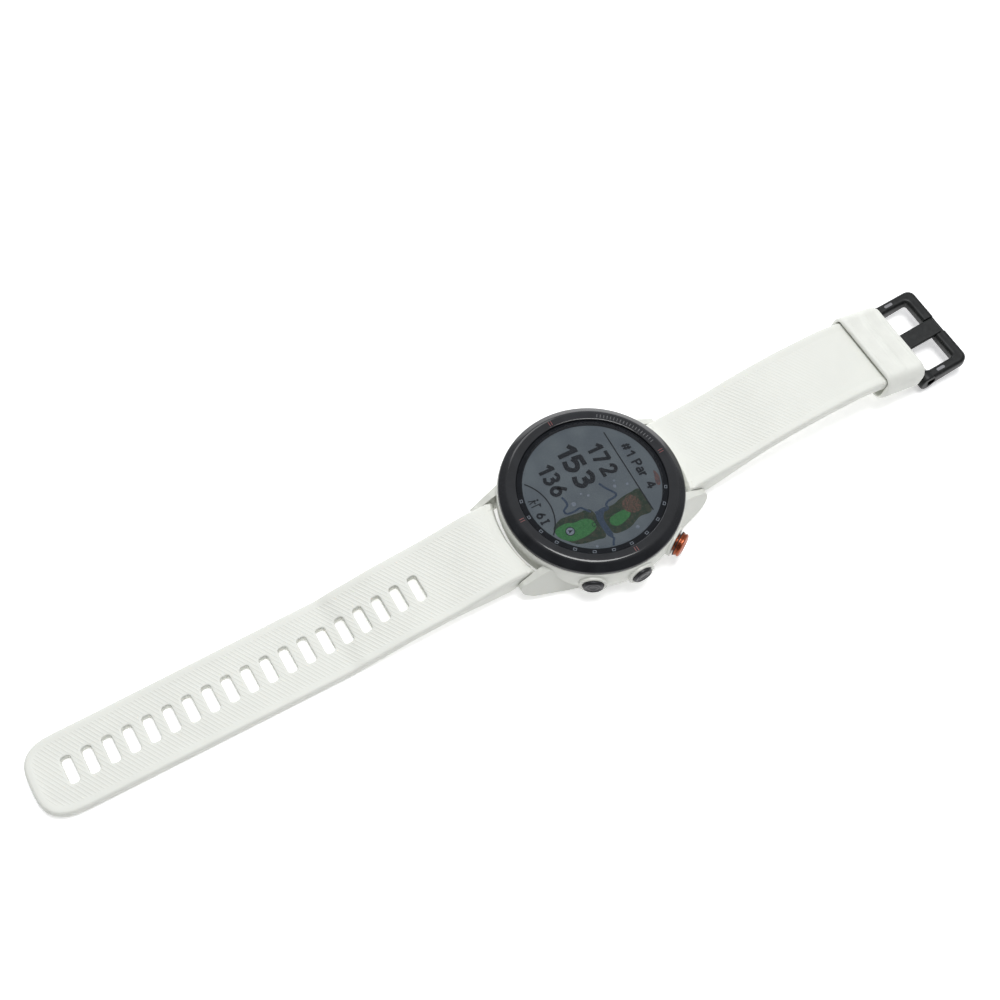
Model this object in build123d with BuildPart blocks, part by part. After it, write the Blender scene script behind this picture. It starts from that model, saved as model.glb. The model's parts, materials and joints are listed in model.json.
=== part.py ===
from build123d import *
import os
from math import cos, radians, sin

os.makedirs("parts", exist_ok=True)

# A round golf GPS watch lying on its back. Millimetres. The origin is the centre of the case's
# resting face, +X points to 3 o'clock (the buttons), +Y to 12 o'clock (the buckle strap), +Z up.

# --- driving dimensions ---
CASE_R = 23.5            # case outer radius, a 47 mm case
CAVITY_R = 20.0          # bore of the case
CASE_TOP = 11.4          # seat of the bezel
LENS_TOP = 14.8          # overall thickness of the case
COVER_R = 20.4           # rear cover
COVER_Z = (0.6, 2.2)
SHELF_R = 15.2           # bore of the shelf the rear cover screws to
SHELF_TOP = 3.8
SCREW_PCR = 18.6         # rear screws
SCREW_ANGLES = (45, 135, 225, 315)

BAR_Y, BAR_Z = 25.5, 4.6     # lug bars
BAR_R = 1.0
LUG_X = 11.15                # inside face of each lug, for a 22 mm strap
STRAP_HALF = 10.9
STRAP_END = 23.85            # end of the strap on the centre line
STRAP_END_R = 30.0           # hollow of the strap end, following the case

BUTTON_Z = 7.0
BUTTON_TRAVEL = 0.5
POCKET_FLOOR = 22.6          # radius at which the pocket of each button ends
STEM_R = 1.0
STEM_BORE_R = 1.15

SLOT_COUNT = 19
SLOT_PITCH = 5.0
SLOT_FIRST_Y = -49.2
SLOT_X, SLOT_Y = 7.0, 2.45
STRAP_T = 2.4                # thickness of the long strap
SHORT_T = 2.8                # thickness of the buckle strap

ARC_Y, ARC_Z, ARC_R = 72.6, -28.5, 40.5    # arc of the buckle strap the keeper rides on
PIN_Y, PIN_Z, PIN_R = 98.4, 3.3, 0.8       # buckle pin
FRAME_HALF, FRAME_ARM = 12.9, 2.8
FRAME_END = (109.4, 5.0)                   # middle of the outer bar
TONGUE_W = 5.0
KEEPER_Y, KEEPER_Z = 89.1, 7.95
KEEPER_TILT = -14.0
KEEPER_L, KEEPER_W, KEEPER_H = 13.4, 24.8, 8.6
KEEPER_WALL = 1.3

BARREL_AXIS = Axis((0, -BAR_Y, BAR_Z), (1, 0, 0))


def save(builder, name):
    builder.part.label = name
    export_step(builder.part, f"parts/{name}.step")


def turned(*points):
    """A solid turned about Z from a half section of (radius, height) points."""
    with BuildPart() as part:
        with BuildSketch(Plane.XZ):
            with BuildLine():
                Polyline(*points, close=True)
            make_face()
        revolve(axis=Axis.Z)
    return part


def radial_plane(angle, radius, height):
    """Plane whose normal points outward along the radius at this angle."""
    a = radians(angle)
    return Plane(origin=(radius * cos(a), radius * sin(a), height),
                 x_dir=(-sin(a), cos(a), 0), z_dir=(cos(a), sin(a), 0))


# ---------------------------------------------------------------- case
BUTTONS = {                  # name: (angle, boss radius, boss face, pocket radius)
    "start": (30.0, 3.9, 24.0, 2.45),
    "centre": (0.0, 3.5, 24.1, 2.75),
    "lower": (-30.0, 3.5, 24.1, 2.75),
}

LUG_LEAN = 4.6               # how far the outer flank of a lug leans in over its height
LUG_FLANK = ((13.9, -28.6), (19.6, -9.0))

with BuildPart() as lug:
    for height, lean in ((0, 0), (14, LUG_LEAN)):
        with BuildSketch(Plane.XY.offset(height)):
            with BuildLine():
                Polyline((6.0, -28.6), *[(x - lean, y) for x, y in LUG_FLANK],
                         (14.0, -5.0), (6.0, -15.0), close=True)
            make_face()
    loft()
    with BuildSketch(Plane.YZ):
        with BuildLine():
            Polyline((-5.0, 10.6), (-18.0, 10.3), (-22.2, 8.6), (-25.6, 6.5))
            ThreePointArc((-25.6, 6.5), (-27.2, 4.7), (-26.3, 2.8))
            Polyline((-26.3, 2.8), (-24.6, 2.0), (-17.0, 1.6), (-5.0, 1.6), (-5.0, 10.6))
        make_face()
    extrude(amount=30, mode=Mode.INTERSECT)
    with BuildSketch(Plane.XY):
        with Locations((0, -25)):
            Rectangle(2 * LUG_X, 20)
    extrude(amount=14, mode=Mode.SUBTRACT)

with BuildPart() as strap_sweep:       # space the strap end turns in
    with BuildSketch(Plane((0, -BAR_Y, BAR_Z))):
        with BuildLine():
            Polyline((LUG_X, 4.9), (LUG_X, 0), (-LUG_X, 0), (-LUG_X, 4.9))
            ThreePointArc((-LUG_X, 4.9), (0, 3.15), (LUG_X, 4.9))
        make_face()
    revolve(axis=BARREL_AXIS)

case_shell = turned(
    (SHELF_R, 2.2), (20.6, 2.2), (20.6, 1.2), (21.2, 1.2), (22.4, 2.6), (23.2, 5.2),
    (CASE_R, 7.2), (CASE_R, 10.7), (23.35, CASE_TOP), (CAVITY_R, CASE_TOP),
    (CAVITY_R, SHELF_TOP), (SHELF_R, SHELF_TOP))

with BuildPart() as case_body:
    add(case_shell.part)
    add(lug.part)
    add(lug.part.mirror(Plane.YZ))
    add(lug.part.mirror(Plane.XZ))
    add(lug.part.mirror(Plane.XZ).mirror(Plane.YZ))
    for angle, boss_r, boss_face, _ in BUTTONS.values():
        with BuildSketch(radial_plane(angle, 21.0, BUTTON_Z)):
            Circle(boss_r)
        extrude(amount=boss_face - 21.0)
    # clear the bore again, and seat the rear cover
    with BuildSketch(Plane.XY.offset(SHELF_TOP)):
        Circle(CAVITY_R)
    extrude(amount=10, mode=Mode.SUBTRACT)
    with BuildSketch(Plane.XY):
        Circle(20.6)
    extrude(amount=COVER_Z[1], mode=Mode.SUBTRACT)
    # screw bosses
    with BuildSketch(Plane.XY.offset(SHELF_TOP)):
        with PolarLocations(SCREW_PCR, 4, start_angle=SCREW_ANGLES[0]):
            Circle(1.9)
    extrude(amount=2.2)
    with BuildSketch(Plane.XY.offset(COVER_Z[1])):
        with PolarLocations(SCREW_PCR, 4, start_angle=SCREW_ANGLES[0]):
            Circle(0.8)
    extrude(amount=3.3, mode=Mode.SUBTRACT)
    # gasket groove
    with BuildSketch(Plane.XY.offset(COVER_Z[1])):
        Circle(16.95)
        Circle(16.15, mode=Mode.SUBTRACT)
    extrude(amount=0.6, mode=Mode.SUBTRACT)
    # button pockets, bores and the flats their clips sit on
    for angle, boss_r, boss_face, pocket_r in BUTTONS.values():
        with BuildSketch(radial_plane(angle, boss_face, BUTTON_Z)):
            Circle(boss_r)
        extrude(amount=4, mode=Mode.SUBTRACT)
        with BuildSketch(radial_plane(angle, POCKET_FLOOR, BUTTON_Z)):
            Circle(pocket_r)
        extrude(amount=4, mode=Mode.SUBTRACT)
        with BuildSketch(radial_plane(angle, 18.0, BUTTON_Z)):
            Circle(STEM_BORE_R)
        extrude(amount=6, mode=Mode.SUBTRACT)
        with BuildSketch(radial_plane(angle, 18.0, BUTTON_Z)):
            Circle(2.3)
        extrude(amount=2.15, mode=Mode.SUBTRACT)
    # room for the strap ends
    add(strap_sweep.part, mode=Mode.SUBTRACT)
    add(strap_sweep.part.mirror(Plane.XZ), mode=Mode.SUBTRACT)
    # lug bar holes: blind on one side, headed on the other
    for sign in (-1, 1):
        with BuildSketch(Plane(origin=(12.3, sign * BAR_Y, BAR_Z), x_dir=(0, 1, 0),
                               z_dir=(-1, 0, 0))):
            Circle(BAR_R + 0.02)
        extrude(amount=30, mode=Mode.SUBTRACT)
        with BuildSketch(Plane(origin=(-12.0, sign * BAR_Y, BAR_Z), x_dir=(0, 1, 0),
                               z_dir=(-1, 0, 0))):
            Circle(1.2)
        extrude(amount=4, mode=Mode.SUBTRACT)
save(case_body, "case_body")

bezel_ring = turned(
    (19.0, 10.4), (19.95, 10.4), (19.95, CASE_TOP), (23.3, CASE_TOP), (23.3, 12.1),
    (23.1, 12.4), (21.3, 13.75), (21.0, 13.9), (18.95, 13.9), (18.75, 13.7),
    (18.75, 13.2), (17.6, 13.2), (17.6, 12.3), (19.0, 12.3))
save(bezel_ring, "bezel_ring")

lens = turned(
    (0, 13.4), (18.65, 13.4), (18.65, 14.0), (18.4, 14.35), (17.9, 14.7), (17.5, LENS_TOP),
    (0, LENS_TOP))
save(lens, "lens")

lens_gasket = turned((17.65, 13.2), (18.6, 13.2), (18.6, 13.4), (17.65, 13.4))
save(lens_gasket, "lens_gasket")

with BuildPart() as display_panel:
    with BuildSketch(Plane.XY.offset(12.2)):
        Circle(17.4)
    extrude(amount=1.2)
    with BuildSketch(Plane.XY.offset(12.2)):      # flat where the flex cable leaves
        with Locations((0, -17.4)):
            Rectangle(11, 1.6)
    extrude(amount=0.6, mode=Mode.SUBTRACT)
save(display_panel, "display_panel")

carrier_shell = turned(
    (17.3, 8.8), (18.5, 8.8), (18.5, 12.2), (0, 12.2), (0, 11.4), (17.3, 11.4))

with BuildPart() as display_carrier:
    add(carrier_shell.part)
    with BuildSketch(Plane.XY.offset(11.0)):
        with Locations((0, -14.6)):
            Rectangle(9.4, 2.6)
    extrude(amount=2, mode=Mode.SUBTRACT)
    with BuildSketch(Plane.XY.offset(11.0)):      # lightening windows
        with GridLocations(12, 0, 2, 1):
            RectangleRounded(8, 12, 1.5)
    extrude(amount=2, mode=Mode.SUBTRACT)
save(display_carrier, "display_carrier")

with BuildPart() as display_flex:
    with BuildSketch(Plane.YZ.offset(-3.4)):
        with BuildLine():
            Polyline((-11.6, 8.8), (-11.6, 8.95), (-14.5, 8.95), (-14.5, 12.2), (-14.35, 12.2),
                     (-14.35, 9.1), (-11.6, 9.1), (-10.4, 9.1), (-10.4, 8.8), close=True)
        make_face()
    extrude(amount=7.4)
save(display_flex, "display_flex")

with BuildPart() as main_board:
    with BuildSketch(Plane.XY.offset(8.0)):
        Circle(18.4)
        with Locations((-18.6, 0)):
            Rectangle(2.4, 7, mode=Mode.SUBTRACT)
    extrude(amount=0.8)
save(main_board, "main_board")

with BuildPart() as shield_cans:
    for x, y, w, h in ((-6.5, 4.5, 11, 13), (7.0, 8.0, 10, 7), (6.5, -2.0, 12, 8)):
        with BuildSketch(Plane.XY.offset(8.8)):
            with Locations((x, y)):
                RectangleRounded(w, h, 0.6)
        extrude(amount=1.5)
save(shield_cans, "shield_cans")

with BuildPart() as gps_antenna:
    with BuildSketch(Plane.XY.offset(8.8)):
        with Locations((-8.0, -7.8)):
            RectangleRounded(8, 8, 0.5)
    extrude(amount=2.0)
    with BuildSketch(Plane.XY.offset(10.8)):
        with Locations((-8.0, -7.8)):
            RectangleRounded(6.4, 6.4, 0.3)
            Circle(0.4, mode=Mode.SUBTRACT)
    extrude(amount=0.1)
save(gps_antenna, "gps_antenna")

with BuildPart() as battery:
    with BuildSketch(Plane.XY.offset(3.9)):
        RectangleRounded(24, 18, 1.2)
    extrude(amount=3.9)
    fillet(battery.edges().filter_by(Axis.X) + battery.edges().filter_by(Axis.Y), 0.6)
save(battery, "battery")

with BuildPart() as battery_pad:
    with BuildSketch(Plane.XY.offset(2.8)):
        RectangleRounded(14, 11, 0.8)
    extrude(amount=1.1)
save(battery_pad, "battery_pad")

with BuildPart() as vibration_motor:
    with BuildSketch(Plane.XY.offset(5.3)):
        with Locations((0, 14.2)):
            Circle(4.0)
    extrude(amount=2.7)
    fillet(vibration_motor.edges().sort_by(Axis.Z)[0], 0.3)
save(vibration_motor, "vibration_motor")

with BuildPart() as tact_switches:
    for angle, _, _, _ in BUTTONS.values():
        with BuildSketch(radial_plane(angle, 16.2, BUTTON_Z)):
            with Locations((0, -0.2)):
                Rectangle(4.0, 2.4)
        extrude(amount=2.1)
        with BuildSketch(radial_plane(angle, 17.1, BUTTON_Z)):
            Circle(0.7)
        extrude(amount=2, mode=Mode.SUBTRACT)
save(tact_switches, "tact_switches")

# ---------------------------------------------------------------- back of the case
with BuildPart() as rear_cover:
    with BuildSketch(Plane.XY.offset(COVER_Z[0])):
        Circle(COVER_R)
    extrude(amount=COVER_Z[1] - COVER_Z[0])
    chamfer(rear_cover.faces().sort_by(Axis.Z)[0].edges(), length=0.5)
    with BuildSketch(Plane.XY.offset(0.2)):
        Circle(10.0)
    extrude(amount=0.6, taper=-20)
    with BuildSketch(Plane.XY):
        Circle(8.0)
    extrude(amount=1.5, mode=Mode.SUBTRACT)
    with BuildSketch(Plane.XY):
        Circle(7.0)
    extrude(amount=5, mode=Mode.SUBTRACT)
    with BuildSketch(Plane.XY):
        with PolarLocations(SCREW_PCR, 4, start_angle=SCREW_ANGLES[0]):
            Circle(0.95)
    extrude(amount=5, mode=Mode.SUBTRACT)
    with BuildSketch(Plane.XY):
        with PolarLocations(SCREW_PCR, 4, start_angle=SCREW_ANGLES[0]):
            Circle(1.5)
    extrude(amount=1.4, mode=Mode.SUBTRACT)
    with BuildSketch(Plane.XY):
        with Locations((0, -12.8)):
            RectangleRounded(8.4, 3.2, 0.8)
    extrude(amount=5, mode=Mode.SUBTRACT)
save(rear_cover, "rear_cover")

with BuildPart() as sensor_window:
    with BuildSketch(Plane.XY):
        Circle(7.95)
    extrude(amount=1.5)
    chamfer(sensor_window.faces().sort_by(Axis.Z)[0].edges(), length=0.35)
save(sensor_window, "sensor_window")

with BuildPart() as sensor_board:
    with BuildSketch(Plane.XY.offset(COVER_Z[1])):
        Circle(9.6)
    extrude(amount=0.6)
save(sensor_board, "sensor_board")

with BuildPart() as sensor_leds:
    with BuildSketch(Plane.XY.offset(1.6)):
        with PolarLocations(4.4, 4):
            Rectangle(1.6, 1.6)
        Rectangle(2.8, 2.8)
    extrude(amount=0.6)
save(sensor_leds, "sensor_leds")

with BuildPart() as rear_gasket:
    with BuildSketch(Plane.XZ):
        with Locations((16.55, 2.5)):
            Circle(0.3)
    revolve(axis=Axis.Z)
save(rear_gasket, "rear_gasket")

with BuildPart() as rear_screws:
    for angle in SCREW_ANGLES:
        centre = (SCREW_PCR * cos(radians(angle)), SCREW_PCR * sin(radians(angle)))
        with BuildSketch(Plane.XY.offset(0.65)):
            with Locations(centre):
                Circle(1.42)
        extrude(amount=0.75)
        with BuildSketch(Plane.XY.offset(1.4)):
            with Locations(centre):
                Circle(0.78)
        extrude(amount=3.9)
        with BuildSketch(Plane.XY.offset(0.65)):
            with Locations(centre):
                RegularPolygon(0.6, 6)
        extrude(amount=0.45, mode=Mode.SUBTRACT)
save(rear_screws, "rear_screws")

with BuildPart() as charge_insert:
    with BuildSketch(Plane.XY.offset(0.7)):
        with Locations((0, -12.8)):
            RectangleRounded(8.36, 3.16, 0.78)
    extrude(amount=2.7)
    with BuildSketch(Plane.XY.offset(0.7)):
        with Locations((0, -12.8)):
            RectangleRounded(7.0, 1.9, 0.5)
    extrude(amount=1.7, mode=Mode.SUBTRACT)
    with BuildSketch(Plane.XY.offset(0.7)):
        with Locations((0, -12.8)):
            with GridLocations(1.55, 0, 4, 1):
                Circle(0.36)
    extrude(amount=5, mode=Mode.SUBTRACT)
save(charge_insert, "charge_insert")

with BuildPart() as charge_contacts:
    with BuildSketch(Plane.XY.offset(1.5)):
        with Locations((0, -12.8)):
            with GridLocations(1.55, 0, 4, 1):
                Circle(0.35)
    extrude(amount=2.2)
save(charge_contacts, "charge_contacts")

with BuildPart() as lug_bars:
    for sign in (-1, 1):
        with BuildSketch(Plane(origin=(12.2, sign * BAR_Y, BAR_Z), x_dir=(0, 1, 0),
                               z_dir=(-1, 0, 0))):
            Circle(BAR_R)
        extrude(amount=24.2)
        with BuildSketch(Plane(origin=(-12.0, sign * BAR_Y, BAR_Z), x_dir=(0, 1, 0),
                               z_dir=(-1, 0, 0))):
            Circle(1.15)
        extrude(amount=0.5)
        with BuildSketch(Plane(origin=(-12.1, sign * BAR_Y, BAR_Z), x_dir=(0, 1, 0),
                               z_dir=(-1, 0, 0))):
            RegularPolygon(0.6, 6)
        extrude(amount=2, mode=Mode.SUBTRACT)
save(lug_bars, "lug_bars")

# ---------------------------------------------------------------- buttons
with BuildPart() as start_button:
    with BuildSketch(radial_plane(30, 24.75, BUTTON_Z)):
        Circle(3.1)
    extrude(amount=1.5)
    fillet(start_button.faces().sort_by(lambda f: f.center().X)[-1].edges(), 0.55)
    with BuildSketch(radial_plane(30, 23.2, BUTTON_Z)):
        Circle(2.3)
    extrude(amount=1.6)
save(start_button, "start_button")

for name, (angle, _, _, _) in BUTTONS.items():
    if name != "start":
        with BuildPart() as cap:
            with BuildSketch(radial_plane(angle, 23.2, BUTTON_Z)):
                Circle(2.6)
            extrude(amount=1.75)
            fillet(cap.faces().sort_by(lambda f: f.center().X)[-1].edges(), 0.45)
        save(cap, f"{name}_button")

    with BuildPart() as stem:
        with BuildSketch(radial_plane(angle, 18.95, BUTTON_Z)):
            Circle(STEM_R)
        extrude(amount=4.25)
        for start, length, core in ((19.85, 0.27, 0.75), (21.2, 0.42, 0.75)):
            with BuildSketch(radial_plane(angle, start, BUTTON_Z)):
                Circle(STEM_R + 0.1)
                Circle(core, mode=Mode.SUBTRACT)
            extrude(amount=length, mode=Mode.SUBTRACT)
    save(stem, f"{name}_stem")

    with BuildPart() as oring:
        with BuildSketch(radial_plane(angle, 21.41, BUTTON_Z)):
            Circle(STEM_BORE_R - 0.02)
            Circle(0.76, mode=Mode.SUBTRACT)
        extrude(amount=0.17, both=True)
        fillet(oring.edges(), 0.12)
    save(oring, f"{name}_oring")

    with BuildPart() as clip:
        with BuildSketch(radial_plane(angle, 19.87, BUTTON_Z)):
            Circle(1.7)
            Circle(0.77, mode=Mode.SUBTRACT)
            with Locations((0, -1.3)):
                Rectangle(0.9, 2.0, mode=Mode.SUBTRACT)
        extrude(amount=0.22)
    save(clip, f"{name}_clip")

    with BuildPart() as plunger:
        with BuildSketch(radial_plane(angle, 17.75, BUTTON_Z)):
            Circle(0.62)
        extrude(amount=1.2)
    save(plunger, f"{name}_plunger")

with BuildPart() as start_collar:
    with BuildSketch(radial_plane(30, 24.52, BUTTON_Z)):
        Circle(3.25)
        Circle(2.31, mode=Mode.SUBTRACT)
    extrude(amount=0.22)
save(start_collar, "start_collar")

# ---------------------------------------------------------------- strap fittings
# Modelled for the long strap and mirrored for the buckle strap: a hook drops over the lug bar
# and a sprung latch slides under it.
HOOK_HALF = 8.6
HOOK_Y = (-31.0, -24.35)
HOOK_Z = (2.6, 5.9)
LATCH_HALF = 3.5
LATCH_TRAVEL = 2.0


def box(x, y, z):
    """A box from three (low, high) pairs."""
    with BuildPart() as part:
        with BuildSketch(Plane.XY.offset(z[0])):
            with Locations(((x[0] + x[1]) / 2, (y[0] + y[1]) / 2)):
                Rectangle(x[1] - x[0], y[1] - y[0])
        extrude(amount=z[1] - z[0])
    return part.part


def x_cylinder(y, z, radius, half):
    """A cylinder along X, centred on x = 0."""
    with BuildPart() as part:
        with BuildSketch(Plane.YZ):
            with Locations((y, z)):
                Circle(radius)
        extrude(amount=half, both=True)
    return part.part


with BuildPart() as hook:
    add(box((-HOOK_HALF, HOOK_HALF), HOOK_Y, HOOK_Z))
    fillet(hook.edges().filter_by(Axis.Z), 0.5)
    add(x_cylinder(-BAR_Y, BAR_Z, BAR_R + 0.05, 12), mode=Mode.SUBTRACT)
    add(box((-12, 12), (-BAR_Y - 1.05, -BAR_Y + 1.05), (0, BAR_Z)), mode=Mode.SUBTRACT)
    add(box((-LATCH_HALF - 0.1, LATCH_HALF + 0.1), (-40, -20), (0, 3.5)), mode=Mode.SUBTRACT)

with BuildPart() as latch:
    add(box((-LATCH_HALF, LATCH_HALF), (-31.0, -24.6), (2.7, 3.4)))
    fillet(latch.edges().filter_by(Axis.Z), 0.6)
    add(box((-2.4, 2.4), (-30.9, -29.3), (2.3, 2.8)))
    add(box((-1.8, 1.8), (-30.4, -30.1), (2.2, 2.5)), mode=Mode.SUBTRACT)

with BuildPart() as latch_spring:
    with BuildLine() as coil:
        Helix(pitch=0.72, height=2.9, radius=0.36, center=(0, -31.2, 3.0), direction=(0, -1, 0))
    with BuildSketch(Plane(origin=coil.line @ 0, z_dir=coil.line % 0)):
        Circle(0.1)
    sweep()

for name, side in (("long", 1), ("buckle", -1)):
    for builder, piece in ((hook, "hook"), (latch, "latch"), (latch_spring, "latch_spring")):
        solid = builder.part if side == 1 else builder.part.mirror(Plane.XZ)
        solid.label = f"{name}_strap_{piece}"
        export_step(solid, f"parts/{name}_strap_{piece}.step")

with BuildPart() as end_fittings:        # everything a strap end is hollowed for
    add(box((-HOOK_HALF, HOOK_HALF), HOOK_Y, (0, HOOK_Z[1])))
    add(x_cylinder(-BAR_Y, BAR_Z, BAR_R + 0.05, 12))
    add(box((-12, 12), (-BAR_Y - 1.05, -BAR_Y + 1.05), (0, BAR_Z)))
    add(box((-LATCH_HALF - 0.1, LATCH_HALF + 0.1), (-34.4, -30), (0, 3.5)))

with BuildPart() as end_hollow:          # the curved end of a strap, clear of the case
    with BuildSketch(Plane.XY.offset(-5)):
        with Locations((0, STRAP_END_R - STRAP_END)):
            Circle(STRAP_END_R)
    extrude(amount=30)

# ---------------------------------------------------------------- long strap
with BuildPart() as long_strap:
    with BuildSketch(Plane.YZ):
        with BuildLine():
            Spline((-21.0, 5.6), (-24.0, 6.6), (-30.0, 6.9), (-38.0, 6.4), (-49.0, 5.6),
                   (-54.0, 5.2), (-59.0, 4.6), (-64.0, 3.75), (-70.0, 2.85), (-76.0, 2.4),
                   tangents=((-1, 0.6), (-1, 0)))
            Line((-76.0, 2.4), (-130.0, 2.4))
            Spline((-130.0, 2.4), (-149.2, 3.2), tangents=((-1, 0), (-1, 0.1)))
            Line((-149.2, 3.2), (-149.2, 3.2 - STRAP_T))
            Spline((-149.2, 3.2 - STRAP_T), (-130.0, 0.0), tangents=((1, -0.1), (1, 0)))
            Line((-130.0, 0.0), (-76.0, 0.0))
            Spline((-76.0, 0.0), (-70.0, 0.45), (-64.0, 1.35), (-59.0, 2.2), (-54.0, 2.8),
                   (-49.0, 3.1), (-42.0, 3.2), (-36.0, 2.6), (-30.0, 2.25), (-24.0, 2.5),
                   (-21.0, 3.6), tangents=((1, 0), (1, 0.6)))
            Line((-21.0, 3.6), (-21.0, 5.6))
        make_face()
    extrude(amount=STRAP_HALF, both=True)
    with BuildSketch(Plane.XY.offset(-5)):
        with Locations(*[(0, SLOT_FIRST_Y - SLOT_PITCH * k) for k in range(SLOT_COUNT)]):
            RectangleRounded(SLOT_X, SLOT_Y, 0.9)
    extrude(amount=30, mode=Mode.SUBTRACT)
    with BuildSketch(Plane.XY.offset(-5)):
        with BuildLine():
            Line((-STRAP_HALF, -20.0), (-STRAP_HALF, -45.0))
            Line((-STRAP_HALF, -45.0), (-10.2, -139.0))
            ThreePointArc((-10.2, -139.0), (-7.6, -146.4), (0, -148.7))
            ThreePointArc((0, -148.7), (7.6, -146.4), (10.2, -139.0))
            Line((10.2, -139.0), (STRAP_HALF, -45.0))
            Line((STRAP_HALF, -45.0), (STRAP_HALF, -20.0))
            Line((STRAP_HALF, -20.0), (-STRAP_HALF, -20.0))
        make_face()
    extrude(amount=30, mode=Mode.INTERSECT)
    add(end_hollow.part, mode=Mode.SUBTRACT)
    add(end_fittings.part, mode=Mode.SUBTRACT)
save(long_strap, "long_strap")

# ---------------------------------------------------------------- buckle strap
arc_points = [(ARC_Y + ARC_R * sin(radians(a)), ARC_Z + ARC_R * cos(radians(a)))
              for a in range(-4, 32, 5)]
with BuildLine() as middle:
    Spline((21.0, 4.6), (25.5, 4.6), (29.0, 5.0), (36.0, 6.8), (43.0, 8.8), (50.0, 10.3),
           (57.0, 11.25), (64.0, 11.8), *arc_points, (PIN_Y, PIN_Z))


def on_side(edge):
    """True for the long edges down either side of a strap."""
    return abs(abs((edge @ 0.5).X) - STRAP_HALF) < 0.01 and edge.length > 20


def half_thickness(y):
    """Half the buckle strap's thickness: thick at the lugs, thinner along the rest."""
    blend = min(max((y - 28.0) / 14.0, 0.0), 1.0)
    return 2.2 + (SHORT_T / 2 - 2.2) * blend * blend * (3 - 2 * blend)


top_points, bottom_points = [], []
for k in range(41):
    point, tangent = middle.line @ (k / 40), middle.line % (k / 40)
    half = half_thickness(point.X)
    normal = Vector(-tangent.Y, tangent.X) * half
    top_points.append(point + normal)
    bottom_points.append(point - normal)

with BuildPart() as buckle_strap:
    with BuildSketch(Plane.YZ):
        with BuildLine():
            Spline(*top_points)
            Line(top_points[-1], bottom_points[-1])
            Spline(*reversed(bottom_points))
            Line(bottom_points[0], top_points[0])
        make_face()
    extrude(amount=STRAP_HALF, both=True)
    fillet(buckle_strap.edges().filter_by(on_side), 0.7)
    add(x_cylinder(PIN_Y, PIN_Z, 1.8, STRAP_HALF))
    with BuildSketch(Plane.XY.offset(-5)):
        Rectangle(2 * STRAP_HALF, 220)
        with Locations((0, PIN_Y + 16.5)):
            with GridLocations(2 * 10.8, 0, 2, 1):
                Rectangle(2.2, 40, mode=Mode.SUBTRACT)
    extrude(amount=40, mode=Mode.INTERSECT)
    add(end_hollow.part.mirror(Plane.XZ), mode=Mode.SUBTRACT)
    add(box((-2.8, 2.8), (PIN_Y - 3.2, 110), (-5, 20)), mode=Mode.SUBTRACT)
    add(x_cylinder(PIN_Y, PIN_Z, PIN_R + 0.02, 12), mode=Mode.SUBTRACT)
    add(end_fittings.part.mirror(Plane.XZ), mode=Mode.SUBTRACT)
save(buckle_strap, "buckle_strap")

with BuildPart() as buckle_pin:
    add(x_cylinder(PIN_Y, PIN_Z, PIN_R, 12.3))
    chamfer(buckle_pin.edges(), 0.15)
save(buckle_pin, "buckle_pin")

# ---------------------------------------------------------------- buckle
rise = Vector(FRAME_END[0] - PIN_Y, FRAME_END[1] - PIN_Z).normalized()
up = Vector(-rise.Y, rise.X)
with BuildPart() as buckle_frame:
    with BuildSketch(Plane.YZ):
        with Locations((PIN_Y, PIN_Z)):
            Circle(2.5)
        with Locations(FRAME_END):
            Circle(1.65)
        with BuildLine():
            centre, end = Vector(PIN_Y, PIN_Z), Vector(*FRAME_END)
            Polyline(centre + up * 2.1, end + up * 1.65, end - up * 1.65, centre - up * 2.1,
                     close=True)
        make_face()
    extrude(amount=FRAME_HALF, both=True)
    with BuildSketch(Plane.XY.offset(-5)):
        with Locations((0, FRAME_END[0] + 1.65 - 15)):
            RectangleRounded(2 * FRAME_HALF, 30, 2.3)
        with Locations((0, FRAME_END[0] - 1.75 - 20)):
            RectangleRounded(2 * (FRAME_HALF - FRAME_ARM), 40, 0.8, mode=Mode.SUBTRACT)
    extrude(amount=30, mode=Mode.INTERSECT)
    add(x_cylinder(PIN_Y, PIN_Z, PIN_R + 0.06, 12.45), mode=Mode.SUBTRACT)
    notch = end + up * 0.4
    with BuildSketch(Plane(origin=(0, notch.X, notch.Y), x_dir=(1, 0, 0),
                           z_dir=(0, up.X, up.Y))):
        Rectangle(TONGUE_W + 0.4, 8)
    extrude(amount=4, mode=Mode.SUBTRACT)
    mark = centre + rise * 4.5 + up * 1.6
    with BuildSketch(Plane(origin=(0, mark.X, mark.Y), x_dir=(1, 0, 0),
                           z_dir=(0, up.X, up.Y))):
        with GridLocations(2 * FRAME_HALF - FRAME_ARM, 0, 2, 1):
            SlotOverall(2.6, 0.9, rotation=90)
    extrude(amount=4, mode=Mode.SUBTRACT)
save(buckle_frame, "buckle_frame")

with BuildPart() as buckle_tongue:
    with BuildSketch(Plane.YZ):
        with Locations((PIN_Y, PIN_Z)):
            Circle(1.75)
        with BuildLine():
            low, tip = centre + up * 0.65, end + up * 0.44
            Polyline(low, tip + rise * 0.9, tip + rise * 0.9 + up * 1.1, low + up * 1.1,
                     close=True)
        make_face()
    extrude(amount=TONGUE_W / 2, both=True)
    add(x_cylinder(PIN_Y, PIN_Z, PIN_R + 0.05, 12), mode=Mode.SUBTRACT)
save(buckle_tongue, "buckle_tongue")

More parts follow.
